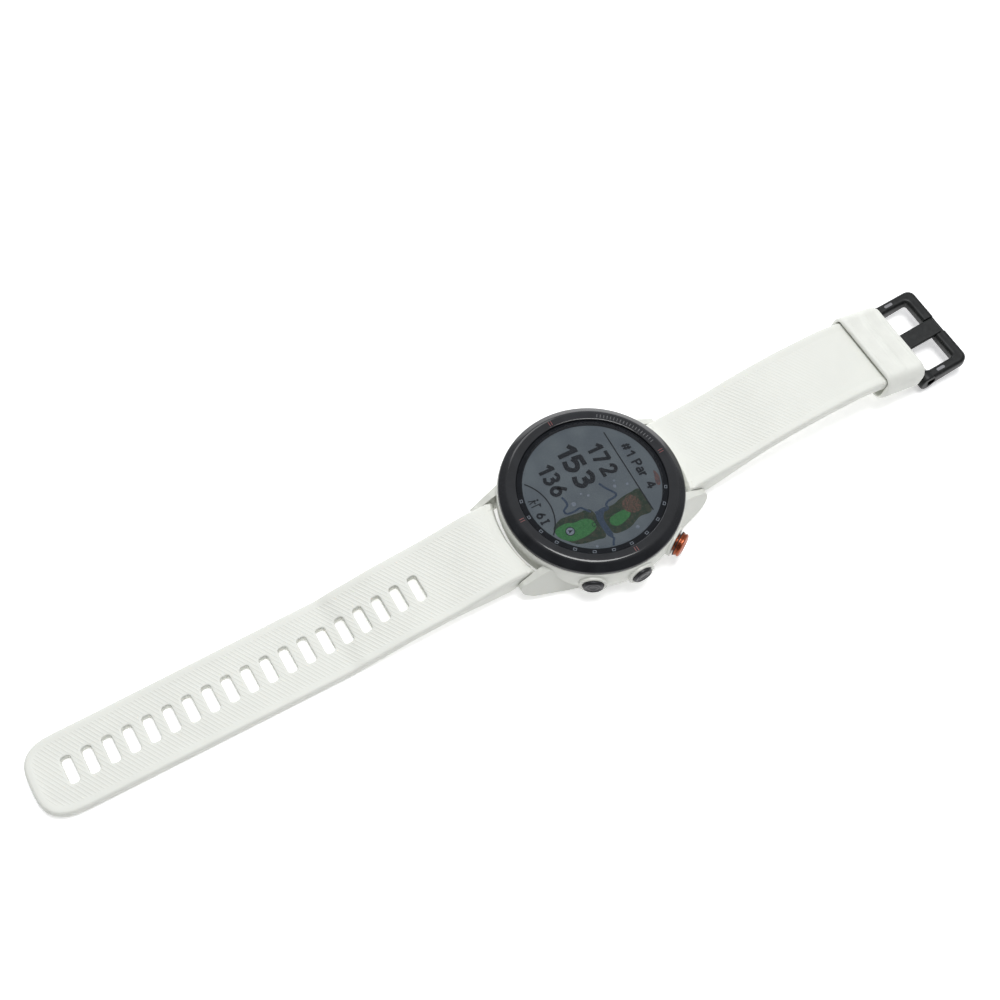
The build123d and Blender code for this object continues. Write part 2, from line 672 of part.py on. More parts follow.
# ---------------------------------------------------------------- keeper
tilt = radians(KEEPER_TILT)
RIB = 0.25                    # how far the rims and the middle rib stand out
with BuildPart() as keeper:
    for along, length, skin in ((0.0, KEEPER_L, 0.0), (-KEEPER_L / 2 + 0.7, 1.4, RIB),
                                (0.0, 1.5, RIB), (KEEPER_L / 2 - 0.7, 1.4, RIB)):
        with BuildSketch(Plane(
                origin=(0, KEEPER_Y + along * cos(tilt), KEEPER_Z + along * sin(tilt)),
                x_dir=(1, 0, 0), z_dir=(0, cos(tilt), sin(tilt)))):
            RectangleRounded(KEEPER_W - 2 * RIB + 2 * skin, KEEPER_H - 2 * RIB + 2 * skin,
                             3.3 + skin)
        extrude(amount=length / 2, both=True)
    with BuildSketch(Plane(origin=(0, KEEPER_Y, KEEPER_Z), x_dir=(1, 0, 0),
                           z_dir=(0, cos(tilt), sin(tilt)))):
        RectangleRounded(KEEPER_W - 2 * KEEPER_WALL, KEEPER_H - 2 * KEEPER_WALL, 1.0)
    extrude(amount=KEEPER_L, both=True, mode=Mode.SUBTRACT)
save(keeper, "keeper")
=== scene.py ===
import json
from math import cos, hypot, pi, radians, sin, sqrt

import bmesh
import bpy
from mathutils import Matrix, Vector
from mathutils.bvhtree import BVHTree
from mathutils.geometry import delaunay_2d_cdt

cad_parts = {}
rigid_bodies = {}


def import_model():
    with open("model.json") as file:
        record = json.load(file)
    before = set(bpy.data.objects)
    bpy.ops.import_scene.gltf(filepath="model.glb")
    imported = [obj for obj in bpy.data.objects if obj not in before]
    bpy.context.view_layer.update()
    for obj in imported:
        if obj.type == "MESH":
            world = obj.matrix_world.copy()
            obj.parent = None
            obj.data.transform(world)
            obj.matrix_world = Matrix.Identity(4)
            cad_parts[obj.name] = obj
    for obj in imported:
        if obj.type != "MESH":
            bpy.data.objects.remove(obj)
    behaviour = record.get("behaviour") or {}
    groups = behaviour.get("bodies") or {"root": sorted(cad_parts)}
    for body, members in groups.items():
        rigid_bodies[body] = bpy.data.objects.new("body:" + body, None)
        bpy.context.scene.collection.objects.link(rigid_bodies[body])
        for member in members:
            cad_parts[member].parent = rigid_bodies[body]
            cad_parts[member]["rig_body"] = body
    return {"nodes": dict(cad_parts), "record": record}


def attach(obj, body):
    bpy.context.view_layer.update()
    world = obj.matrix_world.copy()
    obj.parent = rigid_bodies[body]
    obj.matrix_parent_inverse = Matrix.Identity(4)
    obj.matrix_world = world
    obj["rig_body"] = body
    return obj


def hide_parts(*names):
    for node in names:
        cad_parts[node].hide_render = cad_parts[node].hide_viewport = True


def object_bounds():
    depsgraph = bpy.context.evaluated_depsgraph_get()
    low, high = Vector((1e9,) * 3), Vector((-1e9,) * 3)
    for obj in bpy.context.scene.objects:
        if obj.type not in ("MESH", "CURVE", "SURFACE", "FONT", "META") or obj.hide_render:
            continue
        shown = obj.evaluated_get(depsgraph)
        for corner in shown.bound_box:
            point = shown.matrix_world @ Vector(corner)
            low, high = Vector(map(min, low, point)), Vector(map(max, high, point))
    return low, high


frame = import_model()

MM = 0.001
CAD_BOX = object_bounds()
NODES = frame["nodes"]


# ------------------------ materials
MATS = {}


def new_material(name):
    """An empty material, listed in MATS: its node tree, principled shader and object
    coordinates."""
    mat = bpy.data.materials.new(name)
    mat.use_nodes = True
    MATS[name] = mat
    tree = mat.node_tree
    shader = tree.nodes["Principled BSDF"]
    coords = tree.nodes.new("ShaderNodeTexCoord").outputs["Object"]
    return tree, shader, coords


def put(node, **values):
    """Sets a node's sockets by name, with underscores for the spaces, and returns the node."""
    for name, value in values.items():
        node.inputs[name.replace("_", " ")].default_value = value
    return node


def noise(tree, coords, size, detail=3.0, rough=0.5, stretch=(1, 1, 1)):
    """A noise field whose blotches are about `size` millimetres across."""
    mapping = put(tree.nodes.new("ShaderNodeMapping"), Scale=[s / (size * MM) for s in stretch])
    tree.links.new(coords, mapping.inputs["Vector"])
    node = put(tree.nodes.new("ShaderNodeTexNoise"), Scale=1.0, Detail=detail, Roughness=rough)
    tree.links.new(mapping.outputs["Vector"], node.inputs["Vector"])
    return node.outputs["Fac"]


def ramp(tree, factor, low, high, start=0.3, stop=0.7):
    """A colour that runs from low to high as the factor rises."""
    node = tree.nodes.new("ShaderNodeValToRGB")
    node.color_ramp.elements[0].position = start
    node.color_ramp.elements[1].position = stop
    node.color_ramp.elements[0].color = (*low, 1)
    node.color_ramp.elements[1].color = (*high, 1)
    tree.links.new(factor, node.inputs["Fac"])
    return node.outputs["Color"]


def spread(tree, factor, low, high, start=0.0):
    """A number that runs from low to high as the factor goes from start to 1."""
    node = put(tree.nodes.new("ShaderNodeMapRange"), From_Min=start, To_Min=low, To_Max=high)
    tree.links.new(factor, node.inputs["Value"])
    return node.outputs["Result"]


def bump(tree, height, distance, onto=None):
    """A bump of `distance` millimetres from a 0 to 1 height field."""
    node = put(tree.nodes.new("ShaderNodeBump"), Distance=distance * MM, Strength=1.0)
    tree.links.new(height, node.inputs["Height"])
    if onto is not None:
        tree.links.new(onto, node.inputs["Normal"])
    return node.outputs["Normal"]


def calc(tree, operation, *values):
    """The result of a math node. Each value is a number or a socket."""
    node = tree.nodes.new("ShaderNodeMath")
    node.operation = operation
    for socket, value in zip(node.inputs, values):
        if isinstance(value, float):
            socket.default_value = value
        else:
            tree.links.new(value, socket)
    return node.outputs["Value"]


def dot(tree, vector, direction):
    """How far a vector reaches along a fixed direction."""
    node = tree.nodes.new("ShaderNodeVectorMath")
    node.operation = "DOT_PRODUCT"
    node.inputs[1].default_value = direction
    tree.links.new(vector, node.inputs[0])
    return node.outputs["Value"]


def surface(name, colour, rough, metallic=0.0, vary=0.08, blotch=2.0, grain=0.12, depth=0.004,
            coat=0.0, swing=0.06, stretch=(1, 1, 1), specular=0.5):
    """A general material. Its colour drifts over blotches, and a finer grain stirs its
    roughness and is a bump."""
    tree, shader, coords = new_material(name)
    large = noise(tree, coords, blotch, stretch=stretch)
    low = [c * (1 - vary) for c in colour]
    high = [min(1.0, c * (1 + vary)) for c in colour]
    tree.links.new(ramp(tree, large, low, high), shader.inputs["Base Color"])
    fine = noise(tree, coords, grain, detail=4.0, rough=0.6, stretch=stretch)
    tree.links.new(spread(tree, fine, rough - swing, rough + swing), shader.inputs["Roughness"])
    tree.links.new(bump(tree, fine, depth), shader.inputs["Normal"])
    put(shader, Metallic=metallic, Coat_Weight=coat, Coat_Roughness=0.08,
        Specular_IOR_Level=specular)


def silicone(name, colour, rib_pitch, rib_depth, rib_lean):
    """White silicone: satin, faintly mottled, with fine ribs that run slantwise across it where
    the mesh's rib attribute says so."""
    tree, shader, coords = new_material(name)
    drift = noise(tree, coords, 9.0)
    tree.links.new(ramp(tree, drift, [c * 0.965 for c in colour], colour),
                   shader.inputs["Base Color"])
    turn = 2 * pi / (rib_pitch * MM)
    along = dot(tree, coords, (-sin(rib_lean) * turn, cos(rib_lean) * turn, 0))
    wave = spread(tree, calc(tree, "SINE", along), 0.0, 1.0)
    mask = tree.nodes.new("ShaderNodeAttribute")
    mask.attribute_name = "rib"
    ribs = calc(tree, "MULTIPLY", wave, mask.outputs["Fac"])
    skin = noise(tree, coords, 0.25, detail=4.0)
    pores = bump(tree, skin, 0.012)
    tree.links.new(bump(tree, ribs, rib_depth, onto=pores), shader.inputs["Normal"])
    tree.links.new(spread(tree, skin, 0.46, 0.62), shader.inputs["Roughness"])
    put(shader, Subsurface_Weight=0.15, Subsurface_Radius=(1.2 * MM, 1.1 * MM, 1.0 * MM),
        Subsurface_Scale=1.0)


def see_through(name, tint):
    """Clear glass: light goes straight through it, but for a mirrored share that grows edge-on
    and ends where the level face bends over into the eased rim."""
    tree, shader, coords = new_material(name)
    for node in (shader, coords.node):
        tree.nodes.remove(node)
    out = tree.nodes["Material Output"]
    clear = put(tree.nodes.new("ShaderNodeBsdfTransparent"), Color=(*tint, 1))
    gloss = put(tree.nodes.new("ShaderNodeBsdfGlossy"), Roughness=0.02)
    fresnel = put(tree.nodes.new("ShaderNodeFresnel"), IOR=1.36)
    shape = tree.nodes.new("ShaderNodeNewGeometry").outputs
    outside = calc(tree, "MULTIPLY_ADD", shape["Backfacing"], -1.0, 1.0)
    level = calc(tree, "ABSOLUTE", dot(tree, shape["Normal"], (0, 0, 1)))
    outer = calc(tree, "MULTIPLY", spread(tree, level, 0.0, 1.0, start=0.999), outside)
    mix = tree.nodes.new("ShaderNodeMixShader")
    tree.links.new(calc(tree, "MULTIPLY", fresnel.outputs["Fac"], outer), mix.inputs[0])
    tree.links.new(clear.outputs["BSDF"], mix.inputs[1])
    tree.links.new(gloss.outputs["BSDF"], mix.inputs[2])
    tree.links.new(mix.outputs["Shader"], out.inputs["Surface"])


def screen_material():
    """The ground of the display: blue-grey and cloudy, with a faint pixel grid."""
    tree, shader, coords = new_material("screen")
    cloud = noise(tree, coords, 7.0, detail=1.0)
    ground = ramp(tree, cloud, (0.090, 0.099, 0.105), (0.115, 0.126, 0.127), 0.35, 0.65)
    cell = put(tree.nodes.new("ShaderNodeTexBrick"), Scale=1 / (0.25 * MM), Mortar_Size=0.04,
               Brick_Width=0.5, Row_Height=0.5, Mortar=(0.080, 0.087, 0.092, 1))
    cell.offset = 0.0
    tree.links.new(coords, cell.inputs["Vector"])
    for brick in ("Color1", "Color2"):
        tree.links.new(ground, cell.inputs[brick])
    tree.links.new(cell.outputs["Color"], shader.inputs["Base Color"])
    tree.links.new(bump(tree, cloud, 0.01), shader.inputs["Normal"])
    tree.links.new(spread(tree, cloud, 0.35, 0.5), shader.inputs["Roughness"])
    put(shader, Specular_IOR_Level=0.1)


def flat_print(name, ground, fleck, size=0.5):
    """A matt print whose colour breaks up between two tones in blotches of `size` mm."""
    tree, shader, coords = new_material(name)
    grain = noise(tree, coords, size, detail=2.0, rough=0.7)
    tree.links.new(ramp(tree, grain, ground, fleck, 0.42, 0.58), shader.inputs["Base Color"])
    tree.links.new(spread(tree, grain, 0.4, 0.55), shader.inputs["Roughness"])
    tree.links.new(bump(tree, grain, 0.001), shader.inputs["Normal"])
    put(shader, Specular_IOR_Level=0.1)


STRAP_WHITE = (0.74, 0.75, 0.70)
surface("white_case", (0.67, 0.68, 0.63), 0.42, vary=0.02, blotch=6, grain=0.15, depth=0.003,
        swing=0.05)
surface("black_ceramic", (0.014, 0.015, 0.017), 0.13, vary=0.2, blotch=4, grain=0.3, depth=0.0006,
        coat=0.25, swing=0.03, specular=0.3)
surface("black_seal", (0.012, 0.012, 0.013), 0.5, depth=0.004)
surface("display", (0.05, 0.055, 0.06), 0.3)
surface("black_plastic", (0.025, 0.025, 0.027), 0.48, vary=0.15, grain=0.1, depth=0.008, swing=0.1)
surface("flex_amber", (0.45, 0.20, 0.04), 0.35)
surface("board_green", (0.02, 0.14, 0.06), 0.35, vary=0.25, blotch=0.8)
surface("tinned_steel", (0.62, 0.62, 0.60), 0.35, metallic=1.0)
surface("antenna_ceramic", (0.62, 0.55, 0.42), 0.6)
surface("battery_foil", (0.55, 0.56, 0.58), 0.3, metallic=0.9, blotch=3)
surface("foam", (0.05, 0.05, 0.05), 0.85, depth=0.06, grain=0.3)
surface("steel", (0.56, 0.56, 0.57), 0.3, metallic=1.0, vary=0.08, grain=0.2, depth=0.002,
        stretch=(1, 6, 6), swing=0.1)
surface("gold", (0.83, 0.58, 0.22), 0.28, metallic=1.0)
surface("led", (0.55, 0.72, 0.30), 0.25, coat=0.5)
surface("copper_cap", (0.30, 0.08, 0.036), 0.28, metallic=0.9, vary=0.22, blotch=0.8, grain=0.12,
        depth=0.003, swing=0.1)
surface("black_cap", (0.035, 0.035, 0.038), 0.38, metallic=0.6, vary=0.2, blotch=0.7, grain=0.1,
        depth=0.004, swing=0.1)
silicone("white_strap", STRAP_WHITE, 0.86, 0.042, radians(30))
surface("buckle_black", (0.015, 0.016, 0.016), 0.42, metallic=0.3, vary=0.3, blotch=1.2,
        grain=0.08, depth=0.006, swing=0.12, specular=0.3)
see_through("cover_glass", (0.93, 0.95, 0.97))
see_through("sensor_glass", (0.16, 0.16, 0.18))
surface("white_keeper", STRAP_WHITE, 0.5, vary=0.03, blotch=3.5, grain=0.25, depth=0.012,
        swing=0.08)
surface("worn_metal", (0.20, 0.20, 0.21), 0.4, metallic=0.5, grain=0.1)
surface("mark_red", (0.16, 0.035, 0.035), 0.35, vary=0.3, blotch=0.5)
surface("mark_grey", (0.075, 0.075, 0.08), 0.4, vary=0.3, blotch=0.4)
surface("mask_black", (0.006, 0.006, 0.007), 0.5, vary=0.3, depth=0.001, specular=0.1)
screen_material()
flat_print("print_white", (0.17, 0.18, 0.19), (0.24, 0.24, 0.25))
flat_print("print_dark", (0.006, 0.007, 0.009), (0.010, 0.011, 0.013))
flat_print("print_green", (0.026, 0.100, 0.030), (0.036, 0.132, 0.040))
flat_print("print_olive", (0.016, 0.028, 0.016), (0.034, 0.036, 0.022), 1.2)
flat_print("print_blue", (0.024, 0.036, 0.056), (0.034, 0.048, 0.072))
flat_print("print_pale", (0.12, 0.135, 0.155), (0.17, 0.18, 0.20), 0.6)
flat_print("print_rust", (0.07, 0.05, 0.05), (0.12, 0.06, 0.05), 0.6)
flat_print("print_bunker", (0.024, 0.034, 0.02), (0.12, 0.055, 0.042), 0.35)
for entry in frame["record"]["subparts"]:
    node = NODES[entry["node"]]
    node.data.materials.clear()
    node.data.materials.append(MATS[entry["material_slot"]])


# ------------------------ mesh helpers
SHARP = 35.0                             # degrees between faces that makes an edge a hard one


def smooth_step(t):
    """A ramp from 0 to 1 with an eased start and end."""
    t = min(max(t, 0.0), 1.0)
    return t * t * (3 - 2 * t)


def new_object(name, data):
    """An object in the scene."""
    obj = bpy.data.objects.new(name, data)
    bpy.context.scene.collection.objects.link(obj)
    return obj


def settle(piece, angle=SHARP):
    """Normals outward, smooth shading below `angle`."""
    bm = bmesh.new()
    bm.from_mesh(piece.data)
    bmesh.ops.remove_doubles(bm, verts=bm.verts, dist=1e-7)
    bmesh.ops.recalc_face_normals(bm, faces=bm.faces)
    bm.to_mesh(piece.data)
    bm.free()
    piece.data.shade_smooth()
    piece.data.set_sharp_from_angle(angle=radians(angle))


def add_piece(name, verts, faces, mat, body, angle=SHARP, ribbed=None):
    """A mesh object from millimetre points, riding on a CAD body. `ribbed` says how
    strongly the ribs show at each point."""
    mesh = bpy.data.meshes.new(name)
    mesh.from_pydata([Vector(v) * MM for v in verts], [], faces)
    if ribbed:
        mesh.attributes.new("rib", "FLOAT", "POINT").data.foreach_set("value", ribbed)
    mesh.validate()
    mesh.materials.append(mat)
    piece = new_object(name, mesh)
    settle(piece, angle)
    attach(piece, body)
    return piece


def rounded(points, radius, steps=3):
    """A closed half section with each corner eased by a small curve, except on the axis."""
    out = []
    for i, p in enumerate(points):
        p = Vector(p)
        if abs(p.x) < 0.01:
            out.append(p)
            continue
        before, after = Vector(points[i - 1]) - p, Vector(points[(i + 1) % len(points)]) - p
        cut = min(radius, before.length * 0.45, after.length * 0.45)
        a, b = p + before.normalized() * cut, p + after.normalized() * cut
        for k in range(steps + 1):
            t = k / steps
            out.append(a * (1 - t) ** 2 + p * 2 * t * (1 - t) + b * t * t)
    return out


def radial(angle, radius, height):
    """A frame whose Z axis points outward along the radius at this angle, in millimetres."""
    a = radians(angle)
    x, y, z = Vector((-sin(a), cos(a), 0)), Vector((0, 0, 1)), Vector((cos(a), sin(a), 0))
    place = Matrix((x, y, z)).transposed().to_4x4()
    place.translation = z * radius + Vector((0, 0, height))
    return place


def turned(profile, segments, place=Matrix.Identity(4)):
    """Vertices and faces of a closed (radius, height) half section turned about Z."""
    verts, faces, rows = [], [], len(profile)
    for r, z in profile:
        for k in range(segments):
            a = 2 * pi * k / segments
            verts.append(place @ Vector((r * cos(a), r * sin(a), z)))
    for i in range(rows):
        j = (i + 1) % rows
        for k in range(segments):
            n = (k + 1) % segments
            faces.append((i * segments + k, i * segments + n, j * segments + n,
                          j * segments + k))
    return verts, faces


def joined(*parts):
    """Several (vertices, faces) lists as one."""
    verts, faces = [], []
    for v, f in parts:
        faces += [tuple(i + len(verts) for i in face) for face in f]
        verts += v
    return verts, faces


def flat_face(points):
    """Vertices and faces of one flat face."""
    return points, [tuple(range(len(points)))]


def block(x, y, z):
    """Vertices and faces of a box from three (low, high) pairs."""
    verts = [Vector((a, b, c)) for c in z for b in y for a in x]
    return verts, [(0, 2, 3, 1), (4, 5, 7, 6), (0, 1, 5, 4), (2, 6, 7, 3), (0, 4, 6, 2),
                   (1, 3, 7, 5)]


def along_x(y, z, radius, x0, x1, ease=0.25, segments=48):
    """A round bar along X between x0 and x1, its ends eased."""
    place = Matrix(((0, 0, 1, 0), (1, 0, 0, y), (0, 1, 0, z), (0, 0, 0, 1)))
    profile = rounded([(1e-4, x0), (radius, x0), (radius, x1), (1e-4, x1)], ease)
    return turned(profile, segments, place)


def carve(piece, solid):
    """Cuts a solid, given as (vertices, faces), out of a piece."""
    cutter = add_piece("cutter", *solid, piece.data.materials[0], piece["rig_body"])
    cut = piece.modifiers.new("carve", "BOOLEAN")
    cut.object, cut.operation, cut.solver = cutter, "DIFFERENCE", "EXACT"
    graph = bpy.context.evaluated_depsgraph_get()
    mesh = bpy.data.meshes.new_from_object(piece.evaluated_get(graph))
    piece.modifiers.clear()
    piece.data = mesh
    bpy.data.objects.remove(cutter)
    mesh.set_sharp_from_angle(angle=radians(SHARP))


def soften(node, width):
    """Eases the hard edges of a CAD node with modifiers."""
    weld = NODES[node].modifiers.new("weld", "WELD")
    weld.merge_threshold = 1e-6
    bevel = NODES[node].modifiers.new("ease", "BEVEL")
    bevel.width = width * MM
    bevel.segments = 2
    bevel.limit_method = "ANGLE"
    bevel.angle_limit = radians(30.0)
    bevel.harden_normals = True


# ------------------------ moulded plates
def offset_loop(loop, distance):
    """A closed anticlockwise outline moved inward by a distance."""
    out = []
    for i, p in enumerate(loop):
        a = (p - loop[i - 1]).normalized()
        b = (loop[(i + 1) % len(loop)] - p).normalized()
        mid = (a + b).normalized()
        left = Vector((-mid.y, mid.x))
        out.append(p + left * distance / max(0.5, left.dot(Vector((-a.y, a.x)))))
    return out


def resample(loop, step):
    """The same closed outline with no side longer than step."""
    out = []
    for i, p in enumerate(loop):
        q = loop[(i + 1) % len(loop)]
        count = max(1, round((q - p).length / step))
        out += [p.lerp(q, k / count) for k in range(count)]
    return out


def arc(centre, radius, start, stop, steps):
    """Points round an arc, angles in degrees."""
    return [Vector((centre[0] + radius * cos(radians(start + (stop - start) * k / steps)),
                    centre[1] + radius * sin(radians(start + (stop - start) * k / steps))))
            for k in range(steps + 1)]


def round_box(x, y, half_x, half_y, radius, steps=5, sides=1):
    """A rounded rectangle, anticlockwise, each straight side cut into `sides` lengths."""
    out = []
    for sx, sy, start in ((1, 1, 0), (-1, 1, 90), (-1, -1, 180), (1, -1, 270)):
        corner = arc((x + sx * (half_x - radius), y + sy * (half_y - radius)), radius, start,
                     start + 90, steps)
        if out:
            out += [out[-1].lerp(corner[0], k / sides) for k in range(1, sides)]
        out += corner
    return out + [out[-1].lerp(out[0], k / sides) for k in range(1, sides)]


def inside(p, loop):
    """Whether a point lies within a closed loop."""
    hit = False
    for i, a in enumerate(loop):
        b = loop[i - 1]
        if (a.y > p.y) != (b.y > p.y):
            if p.x < (b.x - a.x) * (p.y - a.y) / (b.y - a.y) + a.x:
                hit = not hit
    return hit


def fall(distance, radius):
    """How far a surface has dropped at this distance from a rounded edge."""
    d = min(max(distance, 0.0), radius)
    return radius - sqrt(max(0.0, radius * radius - (radius - d) ** 2))


def plate(name, outline, holes, above, below, mat, body, edge=0.8, low_edge=0.5, lip=0.25,
          border=1.9, recess=0.0, step=0.9, ribs=None):
    """A moulded plate. outline and holes are closed plan loops. above(p, drop) and
    below(p, drop) place a plan point on its two faces, drop millimetres inside them. Both rims
    are rounded, and the top may be sunk by recess inside a border. ribs(p) says how strongly
    the ribs show there, from 0 to 1."""
    points, rims, gaps, edges = [], [], [], []

    def add_loop(loop, rim, gap):
        first = len(points)
        points.extend(loop)
        rims.extend([rim] * len(loop))
        gaps.extend([gap] * len(loop))
        edges.extend((first + i, first + (i + 1) % len(loop)) for i in range(len(loop)))

    big = 99.0
    inner = border + 0.4
    for rim in [edge * (1 - cos(radians(a))) for a in (0, 18, 36, 54, 72, 90)] + [border, inner]:
        add_loop(offset_loop(outline, rim), rim, big)
    for hole in holes:
        for gap in (0.0, lip * 0.1, lip * 0.4, lip, lip + 0.4):
            add_loop(offset_loop(hole, -gap), big, gap)
    fence = offset_loop(outline, inner + 0.45 * step)
    keep_out = [offset_loop(hole, -lip - 0.4 - 0.45 * step) for hole in holes]
    low_y, high_y = min(p.y for p in outline), max(p.y for p in outline)
    half_x = max(abs(p.x) for p in outline)
    for j in range(int((high_y - low_y) / step) + 1):
        for i in range(-int(half_x / step), int(half_x / step) + 1):
            p = Vector((i * step, low_y + j * step))
            if inside(p, fence) and not any(
                    abs(p.y - hole[0].y) < 12 and inside(p, hole) for hole in keep_out):
                points.append(p)
                rims.append(big)
                gaps.append(big)
    flat, _, cells, sources, _, _ = delaunay_2d_cdt(points, edges, [], 0, 1e-5)
    rim_of = [min(rims[i] for i in s) if s else big for s in sources]
    gap_of = [min(gaps[i] for i in s) if s else big for s in sources]
    cells = [c for c in cells if max(rim_of[i] for i in c) > 0 and max(gap_of[i] for i in c) > 0]
    used = sorted({i for c in cells for i in c})
    index = {v: k for k, v in enumerate(used)}
    cells = [tuple(index[i] for i in c) for c in cells]
    count = len(used)
    tops, lows, rib = [], [], []
    for v in used:
        rim, gap = rim_of[v], gap_of[v]
        sunk = recess * smooth_step((rim - border) / 0.4)
        tops.append(above(flat[v], max(fall(rim, edge), fall(gap, lip)) + sunk))
        lows.append(below(flat[v], max(fall(rim, low_edge), fall(gap, lip))))
        rib.append(1.0 if rim >= inner and gap >= lip + 0.4 else 0.0)
    sides = {}
    for c in cells:
        for a, b in zip(c, c[1:] + c[:1]):
            sides[frozenset((a, b))] = (a, b) if frozenset((a, b)) not in sides else None
    faces = cells + [tuple(i + count for i in reversed(c)) for c in cells]
    faces += [(b, a, a + count, b + count) for a, b in filter(None, sides.values())]
    ribbed = ribs and [r * ribs(flat[v]) for r, v in zip(rib, used)] + [0.0] * count
    return add_piece(name, tops + lows, faces, mat, body, 40, ribbed)


def tree_of(node):
    """A CAD node's mesh, in millimetres, ready for rays."""
    mesh = NODES[node].data
    return BVHTree.FromPolygons([v.co / MM for v in mesh.vertices],
                                [tuple(p.vertices) for p in mesh.polygons])


def thickness_along(tree, path, stations, x_top, x_low):
    """How far the CAD piece reaches above and below a line through it, at each station."""
    away = 20
    above, below = [], []
    for s in stations:
        y, z, ny, nz = path(s)
        for out, x, sign in ((above, x_top(s), 1), (below, x_low(s), -1)):
            start = Vector((x, y + sign * ny * away, z + sign * nz * away))
            hit = tree.ray_cast(start, Vector((0, -sign * ny, -sign * nz)))[0]
            out.append(away - (hit - start).length if hit else out[-1])
    return even(above), even(below)


def bridged(values, first, last):
    """The same values with those between two indices replaced by a straight run."""
    a, b = values[first], values[last]
    run = [a + (b - a) * k / (last - first) for k in range(last - first + 1)]
    return values[:first] + run + values[last + 1:]


def even(values, reach=3):
    """A short running mean, to lose the facets of the CAD mesh."""
    out = []
    for i in range(len(values)):
        near = values[max(0, i - reach):i + reach + 1]
        out.append(sum(near) / len(near))
    return out


def sampled(values, start, step):
    """A function that reads a table of values by straight interpolation."""
    def read(s):
        t = min(max((s - start) / step, 0.0), len(values) - 1.001)
        i = int(t)
        return values[i] + (values[i + 1] - values[i]) * (t - i)
    return read


# ------------------------ long strap
SLOT_FIRST, SLOT_PITCH, SLOT_COUNT = -49.2, 5.0, 19
HALF_WIDTH = 10.9                        # of both straps
END_Y, END_RADIUS = 6.15, 30.0           # the arc round the case that their hollow ends follow
NEAR_EDGE, OFF_MIDDLE = 9.8, 5.5         # where their CAD is measured: off the end's hollow, and
                                         # off the slots


def strap_end():
    """The hollow end of the long strap in plan. The buckle strap's is its mirror image."""
    return arc((0, END_Y), END_RADIUS, 248.7, 291.3, 24)


def swell(x, away):
    """How far a strap's top stands up toward the case, `away` from the case's middle. It drops
    again at the hollow end, which has to clear the case as the strap turns."""
    return (1.5 * smooth_step((46.0 - away) / 19.0)
            * smooth_step((hypot(x, away + END_Y) - END_RADIUS + 0.4) / 1.5))


def make_long_strap():
    def path(s):
        return s, 2.0, 0.0, 1.0

    first, step = -148.4, 0.5
    stations = [first + step * k for k in range(254)]
    top, low = thickness_along(tree_of("long_strap"), path,
                               [min(max(s, -147.0), -22.2) for s in stations],
                               lambda s: NEAR_EDGE if s > -24.4 else OFF_MIDDLE,
                               lambda s: NEAR_EDGE if s > -60 else OFF_MIDDLE)
    low = bridged(low, int(121.0 / step), int(125.0 / step))
    high, deep = sampled(top, first, step), sampled(low, first, step)

    def above(p, drop):
        return Vector((p.x, p.y, path(p.y)[1] + high(p.y) + swell(p.x, -p.y) - drop))

    def below(p, drop):
        return Vector((p.x, p.y, path(p.y)[1] - deep(p.y) + drop))

    tip = [Vector((10.2 * sin(radians(a)) ** 0.62, -139.0 - 9.7 * cos(radians(a)) ** 0.8))
           for a in (90, 78, 66, 54, 42, 31, 21, 12, 5)]
    outline = [Vector((-p.x, p.y)) for p in tip] + [Vector((0, -148.7))] + tip[::-1]
    outline = resample(outline + [Vector((HALF_WIDTH, -45.0))] + strap_end()[::-1]
                       + [Vector((-HALF_WIDTH, -45.0))], 0.9)
    slots = [round_box(0, SLOT_FIRST - SLOT_PITCH * k, 3.5, 1.225, 0.85)
             for k in range(SLOT_COUNT)]
    strap = plate("long_strap_skin", outline, slots, above, below, MATS["white_strap"],
                  "long_band", edge=0.85, low_edge=0.6, recess=0.1,
                  ribs=lambda p: smooth_step((-p.y - 26.0) / 3.0))
    carve_strap_end(strap, 1)
    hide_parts("long_strap")


def carve_strap_end(strap, side):
    """Opens the underside of a strap end for its hook and latch, and bores it for the bar."""
    for x, y, z in (((-8.6, 8.6), (-31.0, -24.35), (-1.0, 5.9)),
                    ((-12, 12), (-26.55, -24.45), (-1.0, 4.6)),
                    ((-3.6, 3.6), (-34.4, -30.5), (-1.0, 3.5))):
        span = y if side == 1 else (-y[1], -y[0])
        carve(strap, block(x, span, z))
    carve(strap, along_x(-25.5 * side, 4.6, 1.05, -12, 12))


# ------------------------ buckle strap
ARC_CENTRE, ARC_R = (72.6, -28.5), 40.5
PIN = (98.4, 3.3)


